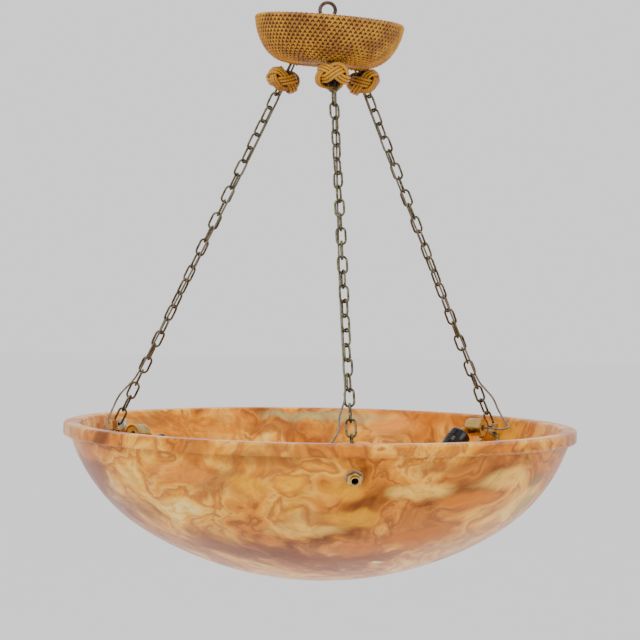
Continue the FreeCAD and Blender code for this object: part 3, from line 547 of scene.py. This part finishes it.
@dataclass(frozen=True)
class Alabaster(Finish):
    """Honey alabaster: curled clouds, mauve haze, yellow flames and listed zones, one of them a
    painted glint.

    Warps are metres of shift along x, y and z; scales are noise cells in a metre.
    """

    stops: tuple[tuple[float, Colour], ...]     # of the clouds
    zones: tuple[Zone, ...]
    haze: Colour
    flame: Colour
    grain: Colour
    swirl_scale: float = 6.0
    swirl_warp: Triple = (0.20, 0.20, 0.16)
    curl_scale: float = 16.0
    curl_warp: Triple = (0.038, 0.038, 0.034)
    cloud_scale: float = 13.0
    zone_swirl: Triple = (0.03, 0.03, 0.02)
    zone_curl: Triple = (0.045, 0.045, 0.030)
    zone_edge: Pair = (1.15, 0.45)       # from nothing to full, in reaches
    zone_break: float = 2.4

    def spread(self, n: Nodes, place: object, scale: float) -> object:
        """Smooth coloured noise as a vector round zero."""
        noise = n.noise(place, scale, 3.0, 0.5, colour=True)
        return n.vector("SUBTRACT", noise, (0.5, 0.5, 0.5))

    def shifted(self, n: Nodes, place: object, way: object, warp: Triple) -> object:
        """A place moved along a vector: place + way * warp."""
        return n.vector("ADD", place, n.vector("MULTIPLY", way, warp))

    def clouded(self, n: Nodes, place: object, bent: object, clouds: object) -> object:
        """The clouds' colours under the haze and the flames.

        A flame is where a noise crosses 0.53, inside patches of a second noise.
        """
        colour = n.ramp(clouds, self.stops)
        haze = n.band(n.noise(bent, 8.0, 5.0, 0.55), 0.52, 0.66)
        colour = n.mix(n.math("MULTIPLY", haze, 0.55), colour, self.haze)
        flame = n.math("ABSOLUTE", n.math("SUBTRACT", n.noise(bent, 15.0, 4.0, 0.5), 0.53))
        flame = n.math("MULTIPLY", n.band(flame, 0.035, 0.0),
                       n.band(n.noise(place, 12.0, 3.0), 0.48, 0.62))
        return n.mix(n.math("MULTIPLY", flame, 0.8), colour, self.flame)

    def zoned(self, n: Nodes, colour: object, near: object, breaks: object) -> object:
        """The zones over a colour: share falls with the distance from each centre.

        The distance is measured in reaches, and the clouds break each edge up.
        """
        uneven = n.math("SUBTRACT", breaks, 0.5)
        for zone in self.zones:
            centre = tuple(v * MM for v in zone.place)
            reach = tuple(v * MM for v in zone.reach)
            away = n.vector("DIVIDE", n.vector("SUBTRACT", near, centre), reach)
            away = n.vector("LENGTH", away, output=1)
            rough = n.math("MULTIPLY", uneven, self.zone_break * zone.broken)
            share = n.band(n.math("ADD", away, rough), *self.zone_edge, 0.0, zone.amount)
            colour = n.mix(share, colour, zone.colour)
        return colour

    def material(self) -> bpy.types.Material:
        """Clouds, haze and flames, then the zones, then a fine grain, under a soft polish."""
        material, n, shader = self.start()
        place = n.add("TexCoord").outputs["Object"]
        swirl = self.spread(n, place, self.swirl_scale)
        bent = self.shifted(n, place, swirl, self.swirl_warp)
        curl = self.spread(n, bent, self.curl_scale)
        bent = self.shifted(n, bent, curl, self.curl_warp)
        clouds = n.noise(bent, self.cloud_scale, 5.0, 0.52)
        colour = self.clouded(n, place, bent, clouds)
        near = self.shifted(n, place, swirl, self.zone_swirl)
        near = self.shifted(n, near, curl, self.zone_curl)
        colour = self.zoned(n, colour, near, n.noise(bent, 26.0, 5.0, 0.6))
        grain = n.noise(bent, 70.0, 5.0, 0.6)
        colour = n.mix(n.band(grain, 0.56, 0.36, 0.0, 0.35), colour, self.grain)
        bump = n.add("Bump", {"Height": n.noise(place, 60.0, 4.0, 0.5), "Strength": 0.06,
                              "Distance": 0.4 * MM})
        n.fill(shader, {"Base Color": colour, "Normal": bump.outputs[0],
                        "Roughness": n.band(clouds, 0.3, 0.7, 0.34, 0.24),
                        "Specular IOR Level": 0.18, "Specular Tint": (1.0, 0.55, 0.22, 1.0),
                        "Coat Weight": 0.04, "Coat Roughness": 0.10,
                        "Subsurface Weight": 0.05, "Subsurface Scale": 1.0,
                        "Subsurface Radius": (0.012, 0.006, 0.003)})
        return material


# ---------------------------------------------------------------- finishes of this lamp
RUST = (0.20, 0.036, 0.003)
DARK_BROWN = (0.075, 0.012, 0.003)
MAUVE = (0.32, 0.105, 0.030)
AMBER = (0.50, 0.13, 0.003)
ORANGE = (0.60, 0.17, 0.006)
YELLOW = (0.80, 0.34, 0.005)
CREAM = (0.90, 0.52, 0.09)
PEACH = (0.80, 0.28, 0.03)
OLIVE = (0.22, 0.145, 0.027)
SAGE = (0.45, 0.44, 0.18)
# painted glint: near-white for a sparkle of light on the polished stone
PAINTED_GLINT = (0.90, 0.85, 0.60)
GRAIN_BROWN = (0.30, 0.080, 0.010)

STONE_CLOUDS = (                # place on the clouds' noise, colour
    (0.32, (0.16, 0.040, 0.006)), (0.38, (0.36, 0.105, 0.012)), (0.42, (0.62, 0.19, 0.012)),
    (0.45, (0.27, 0.080, 0.018)), (0.475, (0.58, 0.185, 0.018)), (0.52, (0.74, 0.29, 0.022)),
    (0.55, (0.84, 0.42, 0.055)), (0.58, (0.44, 0.145, 0.028)), (0.605, (0.68, 0.25, 0.015)),
    (0.65, (0.86, 0.45, 0.060)), (0.72, (0.90, 0.60, 0.160)),
)
STONE_ZONES = (
    Zone((0, 0, -625), (150, 150, 26), CREAM, 0.35, 0.4),
    Zone((-237, -104, -498), (40, 56, 26), RUST, 0.9, 0.7),
    Zone((-220, -82, -532), (44, 56, 26), RUST, 0.85, 0.8),
    Zone((-243, -114, -477), (34, 40, 12), ORANGE, 0.75, 0.5),
    Zone((10, -160, -584), (100, 56, 18), RUST, 0.85, 0.8),
    Zone((-96, -166, -566), (56, 44, 18), RUST, 0.85, 0.8),
    Zone((-65, -161, -578), (36, 30, 12), DARK_BROWN, 0.6, 0.8),
    Zone((-8, -200, -560), (30, 26, 11), DARK_BROWN, 0.85, 0.7),
    Zone((28, -190, -566), (46, 34, 13), AMBER, 0.9, 0.6),
    Zone((104, -178, -557), (50, 40, 17), AMBER, 0.9, 0.7),
    Zone((-186, -160, -530), (50, 40, 16), DARK_BROWN, 0.45, 0.9),
    Zone((-104, -239, -494), (54, 40, 15), MAUVE, 0.75, 0.6),
    Zone((-64, -262, -473), (60, 30, 9), MAUVE, 0.6, 0.6),
    Zone((-4, -234, -533), (44, 34, 12), MAUVE, 0.6, 0.7),
    Zone((131, -236, -475), (44, 30, 9), MAUVE, 0.6, 0.6),
    Zone((-140, -224, -486), (40, 34, 14), PEACH, 0.6, 0.6),
    Zone((-69, -250, -497), (26, 26, 11), YELLOW, 0.8, 0.6),
    Zone((-29, -256, -501), (22, 22, 12), YELLOW, 0.75, 0.6),
    Zone((26, -256, -500), (30, 26, 13), YELLOW, 0.85, 0.5),
    Zone((37, -232, -532), (34, 26, 12), YELLOW, 0.75, 0.6),
    Zone((111, -232, -501), (40, 34, 14), CREAM, 0.8, 0.6),
    Zone((190, -178, -494), (44, 44, 14), CREAM, 0.7, 0.6),
    Zone((210, -124, -520), (44, 44, 18), CREAM, 0.7, 0.6),
    Zone((-18, -222, -545), (36, 28, 10), CREAM, 0.6, 0.7),
    Zone((154, -196, -514), (36, 34, 13), ORANGE, 0.8, 0.6),
    Zone((226, -126, -499), (20, 26, 12), OLIVE, 0.7, 0.7),
    Zone((218, -96, -528), (20, 26, 14), OLIVE, 0.65, 0.7),
    # painted glint: a small white fleck in place of a sparkle of light
    Zone((59, -140, -589), (9, 9, 5), PAINTED_GLINT, 0.85, 0.5),
    Zone((-164, 195, -477), (70, 60, 18), ORANGE, 0.6, 0.6),
    Zone((141, 220, -462), (50, 40, 14), ORANGE, 0.65, 0.6),
    Zone((-54, 248, -479), (60, 40, 12), MAUVE, 0.7, 0.6),
    Zone((-201, 165, -464), (44, 44, 9), MAUVE, 0.6, 0.6),
    Zone((0, 256, -462), (90, 36, 8), SAGE, 0.75, 0.5),
    Zone((95, 240, -470), (34, 34, 12), PEACH, 0.7, 0.5),
    Zone((213, 148, -467), (40, 44, 14), YELLOW, 0.75, 0.6),
)

ALABASTER = Alabaster("alabaster", "alabaster", STONE_CLOUDS, STONE_ZONES, MAUVE, YELLOW,
                      GRAIN_BROWN)
# groove colours: painted shade between the strands of the twist
NET_CORD = SilkCord("gold_net_cord", "crochet_cord", light=(0.58, 0.265, 0.008),
                    deep=(0.27, 0.095, 0.003), groove_shade=(0.06, 0.016, 0.002), turns=420.0)
KNOT_CORD = SilkCord("gold_knot_cord", "crochet_cord", light=(0.52, 0.235, 0.009),
                     deep=(0.27, 0.098, 0.004), groove_shade=(0.07, 0.018, 0.002), turns=330.0)
# Painted shade: near-black brown on the canopy cover, seen through the gaps of the net, and on
# the knot cores between the strands.
SHADE_BACKING = AgedSurface("painted_shade_backing", "crochet_cord", (0.050, 0.018, 0.004),
                           (0.022, 0.008, 0.002), 0.0, 0.8, 0.95, scale=240.0, bump=0.4,
                           sheen=0.05)
IRON = AgedSurface("aged_iron", "aged_iron", (0.12, 0.075, 0.05), (0.05, 0.03, 0.02),
                   0.75, 0.38, 0.62, scale=160.0)
BRONZE = AgedSurface("bronze_chain", "bronze_chain", (0.17, 0.145, 0.085), (0.045, 0.035, 0.018),
                     0.9, 0.32, 0.52, scale=190.0)
BRASS = AgedSurface("aged_brass", "aged_brass", (0.52, 0.33, 0.105), (0.24, 0.14, 0.042),
                    1.0, 0.22, 0.46, amount=0.45, scale=130.0)
STEEL = AgedSurface("dull_steel", "steel", (0.60, 0.59, 0.56), (0.33, 0.31, 0.28),
                    1.0, 0.26, 0.50, amount=0.45, scale=150.0)
BAKELITE = AgedSurface("black_bakelite", "black_bakelite", (0.007, 0.006, 0.006),
                       (0.014, 0.012, 0.010), 0.0, 0.16, 0.38, amount=0.40, scale=200.0,
                       bump=0.06, gloss=0.28)
PORCELAIN = AgedSurface("porcelain", "porcelain", (0.82, 0.80, 0.74), (0.60, 0.55, 0.45),
                        0.0, 0.12, 0.30, amount=0.35, scale=150.0, bump=0.05, coat=0.5)
CORD_SLEEVE = ClearCord("clear_cord", "clear_cord", (0.20, 0.175, 0.115), (0.075, 0.060, 0.036))
BUSH = AgedSurface("amber_bush", "bush_plastic", (0.48, 0.27, 0.05), (0.32, 0.15, 0.02),
                   0.0, 0.35, 0.55, amount=0.45, scale=260.0, bump=0.05)
FELT = AgedSurface("gasket_felt", "gasket_felt", (0.30, 0.24, 0.18), (0.19, 0.15, 0.11),
                   0.0, 0.9, 0.98, scale=500.0, bump=0.5, sheen=0.4)
CONNECTOR = AgedSurface("connector_plastic", "connector_plastic", (0.74, 0.71, 0.62),
                        (0.58, 0.53, 0.42), 0.0, 0.38, 0.55, amount=0.45, scale=180.0,
                        bump=0.05)

REMADE = ("chain_", "knot_", "lamp_cord_")      # CAD nodes that new pieces stand for
DRESSED = (                     # finish, starts of the CAD nodes' names
    # the canopy cover is painted dark as the shade in the net's gaps
    (ALABASTER, ("bowl",)), (SHADE_BACKING, ("canopy_cover",)), (PORCELAIN, ("lamp_base",)),
    (IRON, ("ceiling_eye", "chain_hooks")), (BAKELITE, ("lamp_cap", "lamp_body")),
    (BRASS, ("outer_nuts", "nipples", "inner_nuts", "lamp_cup", "lamp_arm", "knuckle",
             "screw_shell", "centre_contact")),
    (CORD_SLEEVE, ("supply_cord",)), (BUSH, ("cord_bushes",)),
    (FELT, ("outer_gaskets", "inner_gaskets")), (CONNECTOR, ("terminal_block",)),
    (STEEL, ("canopy_", "hanger_spider", "spider_", "hook_nuts", "inner_washers",
             "bracket_")),
)


# ---------------------------------------------------------------- canopy
@dataclass(frozen=True)
class Arc:
    """An arc of the canopy's outer form in (r, z) millimetres; degrees from +r towards +z."""

    centre: Pair
    radius: float
    first: float
    last: float

    @property
    def length(self) -> float:
        """Length along the arc."""
        return abs(math.radians(self.last - self.first)) * self.radius

    def points(self, share: Array) -> tuple[Array, Array]:
        """Places and outward directions at shares from 0 to 1 of the arc."""
        a = np.radians(self.first + (self.last - self.first) * share)
        way = np.stack([np.cos(a), np.sin(a)], -1)
        return np.array(self.centre) + self.radius * way, way


@dataclass(frozen=True)
class Netting:
    """The looped gold cord of the canopy: one cord that runs round and round in loops."""

    inner: Arc = Arc((19.0, -7.9), 57.5, -16.0, -6.0)
    edge: Arc = Arc((78.42, -14.12), 2.6, 170.0, -6.0)
    side: Arc = Arc((19.0, -7.9), 62.0, -5.97, -36.87)
    corner: Arc = Arc((39.8, -23.5), 36.0, -36.87, -90.0)
    floor_r: Pair = (39.8, 11.0)
    floor_z: float = -59.5
    row: float = 4.1            # from one round to the next
    loop: float = 6.1           # from one loop to the next, about
    counts: tuple[int, ...] = (84, 66, 52, 40, 30, 22, 15)      # loops that a round may have
    swing: float = 0.31         # how far a loop leans over its neighbours, share of the loop
    reach: float = 0.47         # half the loop's height, share of the loop
    lift: float = 0.45          # how far the cord rises and dips in a loop
    sink: float = 0.1           # its middle line below the outer form
    cord_r: float = 1.05
    samples: int = 10           # points of a loop
    sides: int = 5
    tilt: float = 3.6
    pivot_z: float = -54.5
    port_r: float = 7.2         # the hooks push the cords this far aside
    port_from: float = 8.0      # and from this height above the chain's first link
    upper_part: int = 55        # per cent of the cord's points, in the upper piece

    def form(self, s: Array) -> tuple[Array, Array]:
        """Places and outward directions at distances along the canopy's outer form.

        Args:
            s: millimetres from 10 mm inside the rim, over the edge and down to the middle.

        Returns:
            (r, z) points and (r, z) directions; the inner arc's directions point inwards.
        """
        places, ways = np.zeros((*s.shape, 2)), np.zeros((*s.shape, 2))
        start = 0.0
        for arc in self.arcs:
            inside = s >= start
            point, way = arc.points((s[inside] - start) / arc.length)
            places[inside], ways[inside] = point, -way if arc is self.inner else way
            start += arc.length
        inside = s >= start
        r = self.floor_r[0] - (s[inside] - start)
        places[inside] = np.stack([r, np.full_like(r, self.floor_z)], -1)
        ways[inside] = (0.0, -1.0)
        return places, ways

    @property
    def arcs(self) -> tuple[Arc, ...]:
        """The form's arcs in their order along it."""
        return self.inner, self.edge, self.side, self.corner

    @property
    def length(self) -> float:
        """Length of the whole form."""
        return sum(arc.length for arc in self.arcs) + self.floor_r[0] - self.floor_r[1]

    def centre_line(self) -> tuple[Array, Array]:
        """The cord's middle line and the outward direction at each of its points.

        Each round has as many loops as fit its radius.  Within a loop, t from 0 to 1:
        along = t - swing * sin 2 pi t, across = -reach * cos 2 pi t, out = lift * cos of
        2 pi t + 1.

        Returns:
            Points (n, 3) and directions (n, 3) in millimetres, tilted with the canopy.
        """
        rounds = int(self.length / self.row)
        starts = np.arange(rounds) * self.row
        radii = self.form(starts)[0][:, 0]
        counts = [min(self.counts, key=lambda n, r=r: abs(2 * math.pi * r / n - self.loop))
                  for r in radii]
        turn, course, t = [], [], []
        for k, n in enumerate(counts):
            share = np.arange(n * self.samples) / (n * self.samples)
            turn.append(2 * math.pi * (k + share))
            course.append(starts[k] + share * self.row)
            t.append(share * n + 0.5 * k)
        turn, course, t = (np.concatenate(v) for v in (turn, course, t))
        each = np.repeat([2 * math.pi * r / n for r, n in zip(radii, counts)],
                         [n * self.samples for n in counts])
        wave = 2 * math.pi * t
        s = course - self.reach * each * np.cos(wave)
        place, way = self.form(np.clip(s, 0.0, self.length))
        r = place[:, 0]
        angle = turn - self.swing * each * np.sin(wave) / np.maximum(r, 8.0)
        lift = self.lift * np.cos(wave + 1.0)
        flat = place + way * (lift - self.sink)[:, None]
        line = np.stack([flat[:, 0] * np.cos(angle), flat[:, 0] * np.sin(angle), flat[:, 1]], -1)
        out = np.stack([way[:, 0] * np.cos(angle), way[:, 0] * np.sin(angle), way[:, 1]], -1)
        return self.past_hooks(self.tilted(line, self.pivot_z)), self.tilted(out, 0.0)

    def tilted(self, points: Array, pivot_z: float) -> Array:
        """Points turned about Y by the tilt, right side down: x' = x cos a + z sin a."""
        a = math.radians(self.tilt)
        x, y, z = points[..., 0], points[..., 1], points[..., 2] - pivot_z
        return np.stack([x * math.cos(a) + z * math.sin(a), y,
                         z * math.cos(a) - x * math.sin(a) + pivot_z], -1)

    def past_hooks(self, points: Array) -> Array:
        """Points moved aside by the three hooks: d' = cube root of (d^3 + port^3)."""
        for hanger in HANGERS:
            foot = hanger.place(np.array(LINE.hook)) / MM
            up = hanger.place(LINE.up) / MM
            away = points - foot
            along = (away @ up)[:, None]
            across = away - along * up
            d = np.linalg.norm(across, axis=1, keepdims=True)
            near = (along > self.port_from) & (d < 4 * self.port_r)
            grown = np.cbrt(d ** 3 + self.port_r ** 3) / np.maximum(d, 1e-3)
            points = np.where(near, foot + along * up + across * grown, points)
        return points

    def build(self) -> None:
        """The net in two pieces, upper and lower."""
        line, out = self.centre_line()
        cut = len(line) * self.upper_part // 100
        for name, part in (("net_upper", slice(0, cut + 1)), ("net_lower", slice(cut, None))):
            grid = tube_grid(line[part] * MM, out[part], self.cord_r * MM, self.sides, False)
            piece = piece_from_grids(f"canopy_{name}", grid, False, True, caps=True)
            NET_CORD.dress(piece)
            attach(piece, "canopy")


# ---------------------------------------------------------------- knots, chains, cords
@dataclass(frozen=True)
class CordKnot:
    """A woven knot ball: one cord passed three times round, in three strands side by side."""

    girth: float = 16.6         # radius of the strands' middle line at the equator
    half_height: float = 12.1
    leads: int = 3
    bights: int = 4
    climb: float = 42.0         # highest latitude, degrees
    strand_gap: float = 3.4
    weave: float = 1.9          # strands over and under
    cord_r: float = 1.60
    core: Pair = (13.3, 9.4)
    bore_r: float = 6.9
    samples: int = 420

    def strands(self) -> tuple[Array, Array]:
        """Middle lines of the strands and their outward directions, round +Z.

        Longitude a runs leads times round; latitude = climb * cos(bights * a / leads);
        the radius grows and shrinks by weave * sin(2 * bights * a / leads), so that the
        strands pass over and under in turn.

        Returns:
            Points (3, n, 3) and directions (3, n, 3) in millimetres.
        """
        a = np.linspace(0, 2 * math.pi * self.leads, self.samples, endpoint=False)
        b = np.radians(self.climb) * np.cos(self.bights * a / self.leads)
        h = self.weave * np.sin(2 * self.bights * a / self.leads)
        out = np.stack([np.cos(b) * np.cos(a), np.cos(b) * np.sin(a), np.sin(b)], -1)
        size = np.array([self.girth, self.girth, self.half_height])
        line = out * size + out * h[:, None]
        course = unit(np.roll(line, -1, axis=0) - np.roll(line, 1, axis=0))
        across = unit(np.cross(out, course))
        gap = np.array([-self.strand_gap, 0.0, self.strand_gap])[:, None, None]
        lines = line + across * gap
        lines = lines * (np.linalg.norm(line / size, axis=-1)
                         / np.linalg.norm(lines / size, axis=-1))[..., None]
        return lines, np.broadcast_to(out, lines.shape)

    def core_profile(self) -> Array:
        """(r, z) of the core, dark as painted shade between the strands: half an ellipse outside
        and the bore inside.
        """
        limit = math.acos(self.bore_r / self.core[0])
        a = np.linspace(limit, -limit, 15)
        outside = np.stack([self.core[0] * np.cos(a), self.core[1] * np.sin(a)], -1)
        z = np.linspace(outside[-1, 1], outside[0, 1], 6)[1:-1]
        return np.concatenate([outside, np.stack([np.full_like(z, self.bore_r), z], -1)])

    def build(self, hanger: Hanger) -> None:
        """The knot of one hanger, core and strands, in place of the CAD's ball.

        Args:
            hanger: whose knot it is.
        """
        axes = np.stack([LINE.side, -LINE.out, LINE.up])
        hook = np.array(LINE.hook)
        lines, outs = self.strands()
        lines, outs = hook + lines @ axes, outs @ axes
        grid = tube_grid(hanger.place(lines), hanger.place(outs), self.cord_r * MM, 8, True)
        strands = piece_from_grids(f"knot_strands_{hanger.name}", grid, True, True,
                                   flip=hanger.hand is Hand.MIRRORED)
        KNOT_CORD.dress(strands)
        core = revolve_grid(self.core_profile(), 32)
        core = hanger.place(hook + core @ axes)
        core = piece_from_grids(f"knot_core_{hanger.name}", core, True, True,
                                flip=hanger.hand is Hand.PLAIN)
        # the core is coloured as painted shade between the knot's strands
        SHADE_BACKING.dress(core)
        for piece in (strands, core):
            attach(piece, f"chain_{hanger.name}")
            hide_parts(f"knot_{hanger.name}")


@dataclass(frozen=True)
class LinkChain:
    """A twisted chain of oval links in round wire."""

    bend_steps: int = 9
    sides: int = 10

    def links(self) -> tuple[Array, Array]:
        """Middle lines of the links' wires and the links' flat directions.

        Returns:
            Points (links, n, 3) and directions of the same shape, in millimetres.
        """
        bend = LINE.bend_r
        straight = (LINE.pitch + LINE.play) / 2.0 + LINE.wire_r - bend
        a = np.linspace(0.0, math.pi, self.bend_steps)
        top = np.stack([bend * np.cos(a), straight + bend * np.sin(a)], -1)
        oval = np.concatenate([top, -top])
        k = np.arange(LINE.links)
        middle = LINE.wire_r + LINE.play / 2.0 + (k + 0.5) * LINE.pitch
        turn = np.radians(90.0 + k * (90.0 + LINE.twist))[:, None]
        wide = np.cos(turn) * LINE.out + np.sin(turn) * LINE.side
        place = np.array(LINE.hook) - middle[:, None] * LINE.up
        lines = (place[:, None] + oval[None, :, :1] * wide[:, None]
                 + oval[None, :, 1:] * LINE.up)
        flat = np.cross(LINE.up, wide)
        return lines, np.broadcast_to(flat[:, None], lines.shape)

    def build(self, hanger: Hanger) -> None:
        """The chain of one hanger in place of the CAD's six-sided links.

        Args:
            hanger: whose chain it is.
        """
        lines, flats = self.links()
        grid = tube_grid(hanger.place(lines), hanger.place(flats), LINE.wire_r * MM,
                         self.sides, True)
        chain = piece_from_grids(f"links_{hanger.name}", grid, True, True,
                                 flip=hanger.hand is Hand.MIRRORED)
        BRONZE.dress(chain)
        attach(chain, f"chain_{hanger.name}")
        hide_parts(f"chain_{hanger.name}")


@dataclass(frozen=True)
class LampCord:
    """The thin cord from a knot down beside its chain and over to the lamp cup."""

    radius: float = 1.1
    offset: float = 4.3
    phase: float = 135.0        # degrees round the chain at its first link
    leaves: float = 60.0        # above the chain's foot
    split: float = 0.3
    rim_z: float = -453.0
    cup_drop: float = 14.5
    head_r: float = 248.024     # middle plane of the bracket's head
    mouth: Pair = (-22.0, -219.024)
    turn: float = 17.5          # of the cup's axis, degrees
    bow: tuple[Triple, ...] = (  # below the leaving point, degrees round the chain, offset
        (13.0, 298.0, 9.5), (26.0, 300.0, 15.0), (40.0, 300.0, 15.0))
    bend: tuple[Triple, ...] = (  # past the mouth sideways, inside the head, share of the drop
        (0.0, -1.0, 0.2), (-11.0, 2.0, 0.6), (-21.0, 10.0, 0.9), (-22.5, 22.5, 1.05))
    lengths: dict = field(default_factory=lambda: {"front": 0.5016, "right": 0.4994,
                                                   "left": 0.5042})

    def route(self, rise: float) -> Array:
        """The route's points, in local millimetres.

        Args:
            rise: height of this lamp's cup above the middle one.

        Returns:
            Points (n, 3) from the knot to inside the cup.
        """
        last = LINE.length - self.leaves
        count = int(last / (2 * LINE.pitch))
        down = self.split + np.arange(count + 1) * last / count
        turns = (down - LINE.pitch / 2.0) / LINE.pitch
        beside = LINE.around(down, self.phase + turns * LINE.twist,
                             np.full(count + 1, self.offset))
        below, degrees, offset = np.array(self.bow).T
        bow = LINE.around(last + below, degrees, offset)
        sink = rise - self.cup_drop
        past, inside, share = np.array(self.bend).T
        bend = np.stack([self.mouth[0] + past, inside - self.head_r, self.rim_z + share * sink],
                        axis=-1)
        entry = np.array([*self.mouth, self.rim_z + sink])
        a = math.radians(self.turn)
        into = np.array([math.cos(a), math.sin(a), 0.0])
        return np.concatenate([beside, bow, bend, [entry - 9 * into, entry + 9 * into]])

    def build(self, hanger: Hanger) -> None:
        """The cord of one hanger in place of the CAD's tube.

        Args:
            hanger: whose cord it is.
        """
        points = hanger.place(self.route(hanger.rise))
        name = f"cord_{hanger.name}"
        curve = bpy.data.curves.new(name, "CURVE")
        curve.dimensions = "3D"
        curve.bevel_depth = self.radius * MM
        curve.bevel_resolution = 3
        curve.resolution_u = 8
        curve.use_fill_caps = True
        spline = curve.splines.new("NURBS")
        spline.points.add(len(points) - 1)
        flat = np.concatenate([points, np.ones((len(points), 1))], axis=1)
        spline.points.foreach_set("co", flat.ravel())
        spline.order_u = 3
        spline.use_endpoint_u = True
        cord = bpy.data.objects.new(name, curve)
        bpy.context.scene.collection.objects.link(cord)
        CORD_SLEEVE.dress(cord)
        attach(cord, f"chain_{hanger.name}")
        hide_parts(f"lamp_cord_{hanger.name}")
        LOG.info("%s: %d points", name, len(points))


# ---------------------------------------------------------------- studio
@dataclass(frozen=True)
class SoftLight:
    """A large area light that looks at a point."""

    name: str
    place: Triple
    target: Triple
    size: float                 # across
    power: float                # watts

    def build(self) -> None:
        """Add the light to the scene."""
        data = bpy.data.lights.new(self.name, "AREA")
        data.shape = "DISK"
        data.size = self.size
        data.energy = self.power
        lamp = bpy.data.objects.new(self.name, data)
        way = Vector(self.target) - Vector(self.place)
        lamp.matrix_world = (Matrix.Translation(self.place)
                             @ way.to_track_quat("-Z", "Y").to_matrix().to_4x4())
        bpy.context.scene.collection.objects.link(lamp)


@dataclass(frozen=True)
class Studio:
    """Wide pale floor, soft lights and the photo's camera."""

    floor_z: float = -2.2
    floor_half: float = 40.0
    floor_grey: float = 0.96
    daylight: float = 1.15
    lens: float = 143.8
    eye: Triple = (0.0, -2.8, -0.2533)
    roll: float = 0.0179
    shift: Pair = (-0.00548, -0.12258)
    lights: tuple[SoftLight, ...] = (
        SoftLight("key", (-1.6, -2.2, 1.5), (0.0, 0.0, -0.35), 1.6, 52.0),
        SoftLight("fill", (2.2, -1.8, 0.6), (0.0, 0.0, -0.4), 1.8, 26.0),
        SoftLight("top", (0.2, 0.6, 2.2), (0.0, 0.0, -0.4), 1.6, 34.0),
    )

    def build(self) -> None:
        """Floor, world, lights and camera."""
        side = np.linspace(-self.floor_half, self.floor_half, 3)
        grid = np.stack(np.broadcast_arrays(side[None], side[:, None], self.floor_z), -1)
        floor = piece_from_grids("studio_floor", grid, False, False)
        material, nodes, shader = Finish("studio_white", "").start()
        grain = nodes.noise(nodes.add("TexCoord").outputs["Object"], 3.0, 2.0)
        grey = self.floor_grey
        tone = nodes.mix(grain, (grey, grey, grey), (grey + 0.02,) * 3)
        nodes.fill(shader, {"Base Color": tone, "Roughness": 0.9, "Specular IOR Level": 0.1})
        floor.data.materials.append(material)
        world = bpy.data.worlds.new("studio")
        world.use_nodes = True
        backdrop = world.node_tree.nodes["Background"]
        backdrop.inputs["Color"].default_value = (1.0, 1.0, 1.0, 1.0)
        backdrop.inputs["Strength"].default_value = self.daylight
        bpy.context.scene.world = world
        for light in self.lights:
            light.build()
        data = bpy.data.cameras.new("photo_camera")
        data.lens, data.sensor_width = self.lens, 36.0
        data.shift_x, data.shift_y = self.shift
        data.clip_end = 50.0
        camera = bpy.data.objects.new("photo_camera", data)
        camera.matrix_world = (Matrix.Translation(self.eye)
                               @ Matrix.Rotation(math.radians(90.0), 4, "X")
                               @ Matrix.Rotation(self.roll, 4, "Z"))
        bpy.context.scene.collection.objects.link(camera)
        bpy.context.scene.camera = camera


# ---------------------------------------------------------------- the whole lamp
@dataclass(frozen=True)
class Pendant:
    """All the new pieces and the finishes of the CAD nodes."""

    netting: Netting = Netting()
    knot: CordKnot = CordKnot()
    chain: LinkChain = LinkChain()
    cord: LampCord = LampCord()
    studio: Studio = Studio()

    def dress_nodes(self) -> None:
        """Give every CAD node that stays visible its finish."""
        for name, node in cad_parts.items():
            if name.startswith(REMADE) and name != "chain_hooks":
                continue
            finish = next(f for f, starts in DRESSED if name.startswith(starts))
            finish.dress(node)
            LOG.info("%s: %s", name, finish.name)

    def build(self) -> None:
        """Build the lamp and its studio."""
        self.dress_nodes()
        self.netting.build()
        for hanger in HANGERS:
            self.knot.build(hanger)
            self.chain.build(hanger)
            self.cord.build(hanger)
        self.studio.build()


def main() -> None:
    """Build everything and report it."""
    logging.basicConfig(level=logging.INFO, format="%(name)s: %(message)s")
    Pendant().build()


if __name__ == "__main__":
    main()
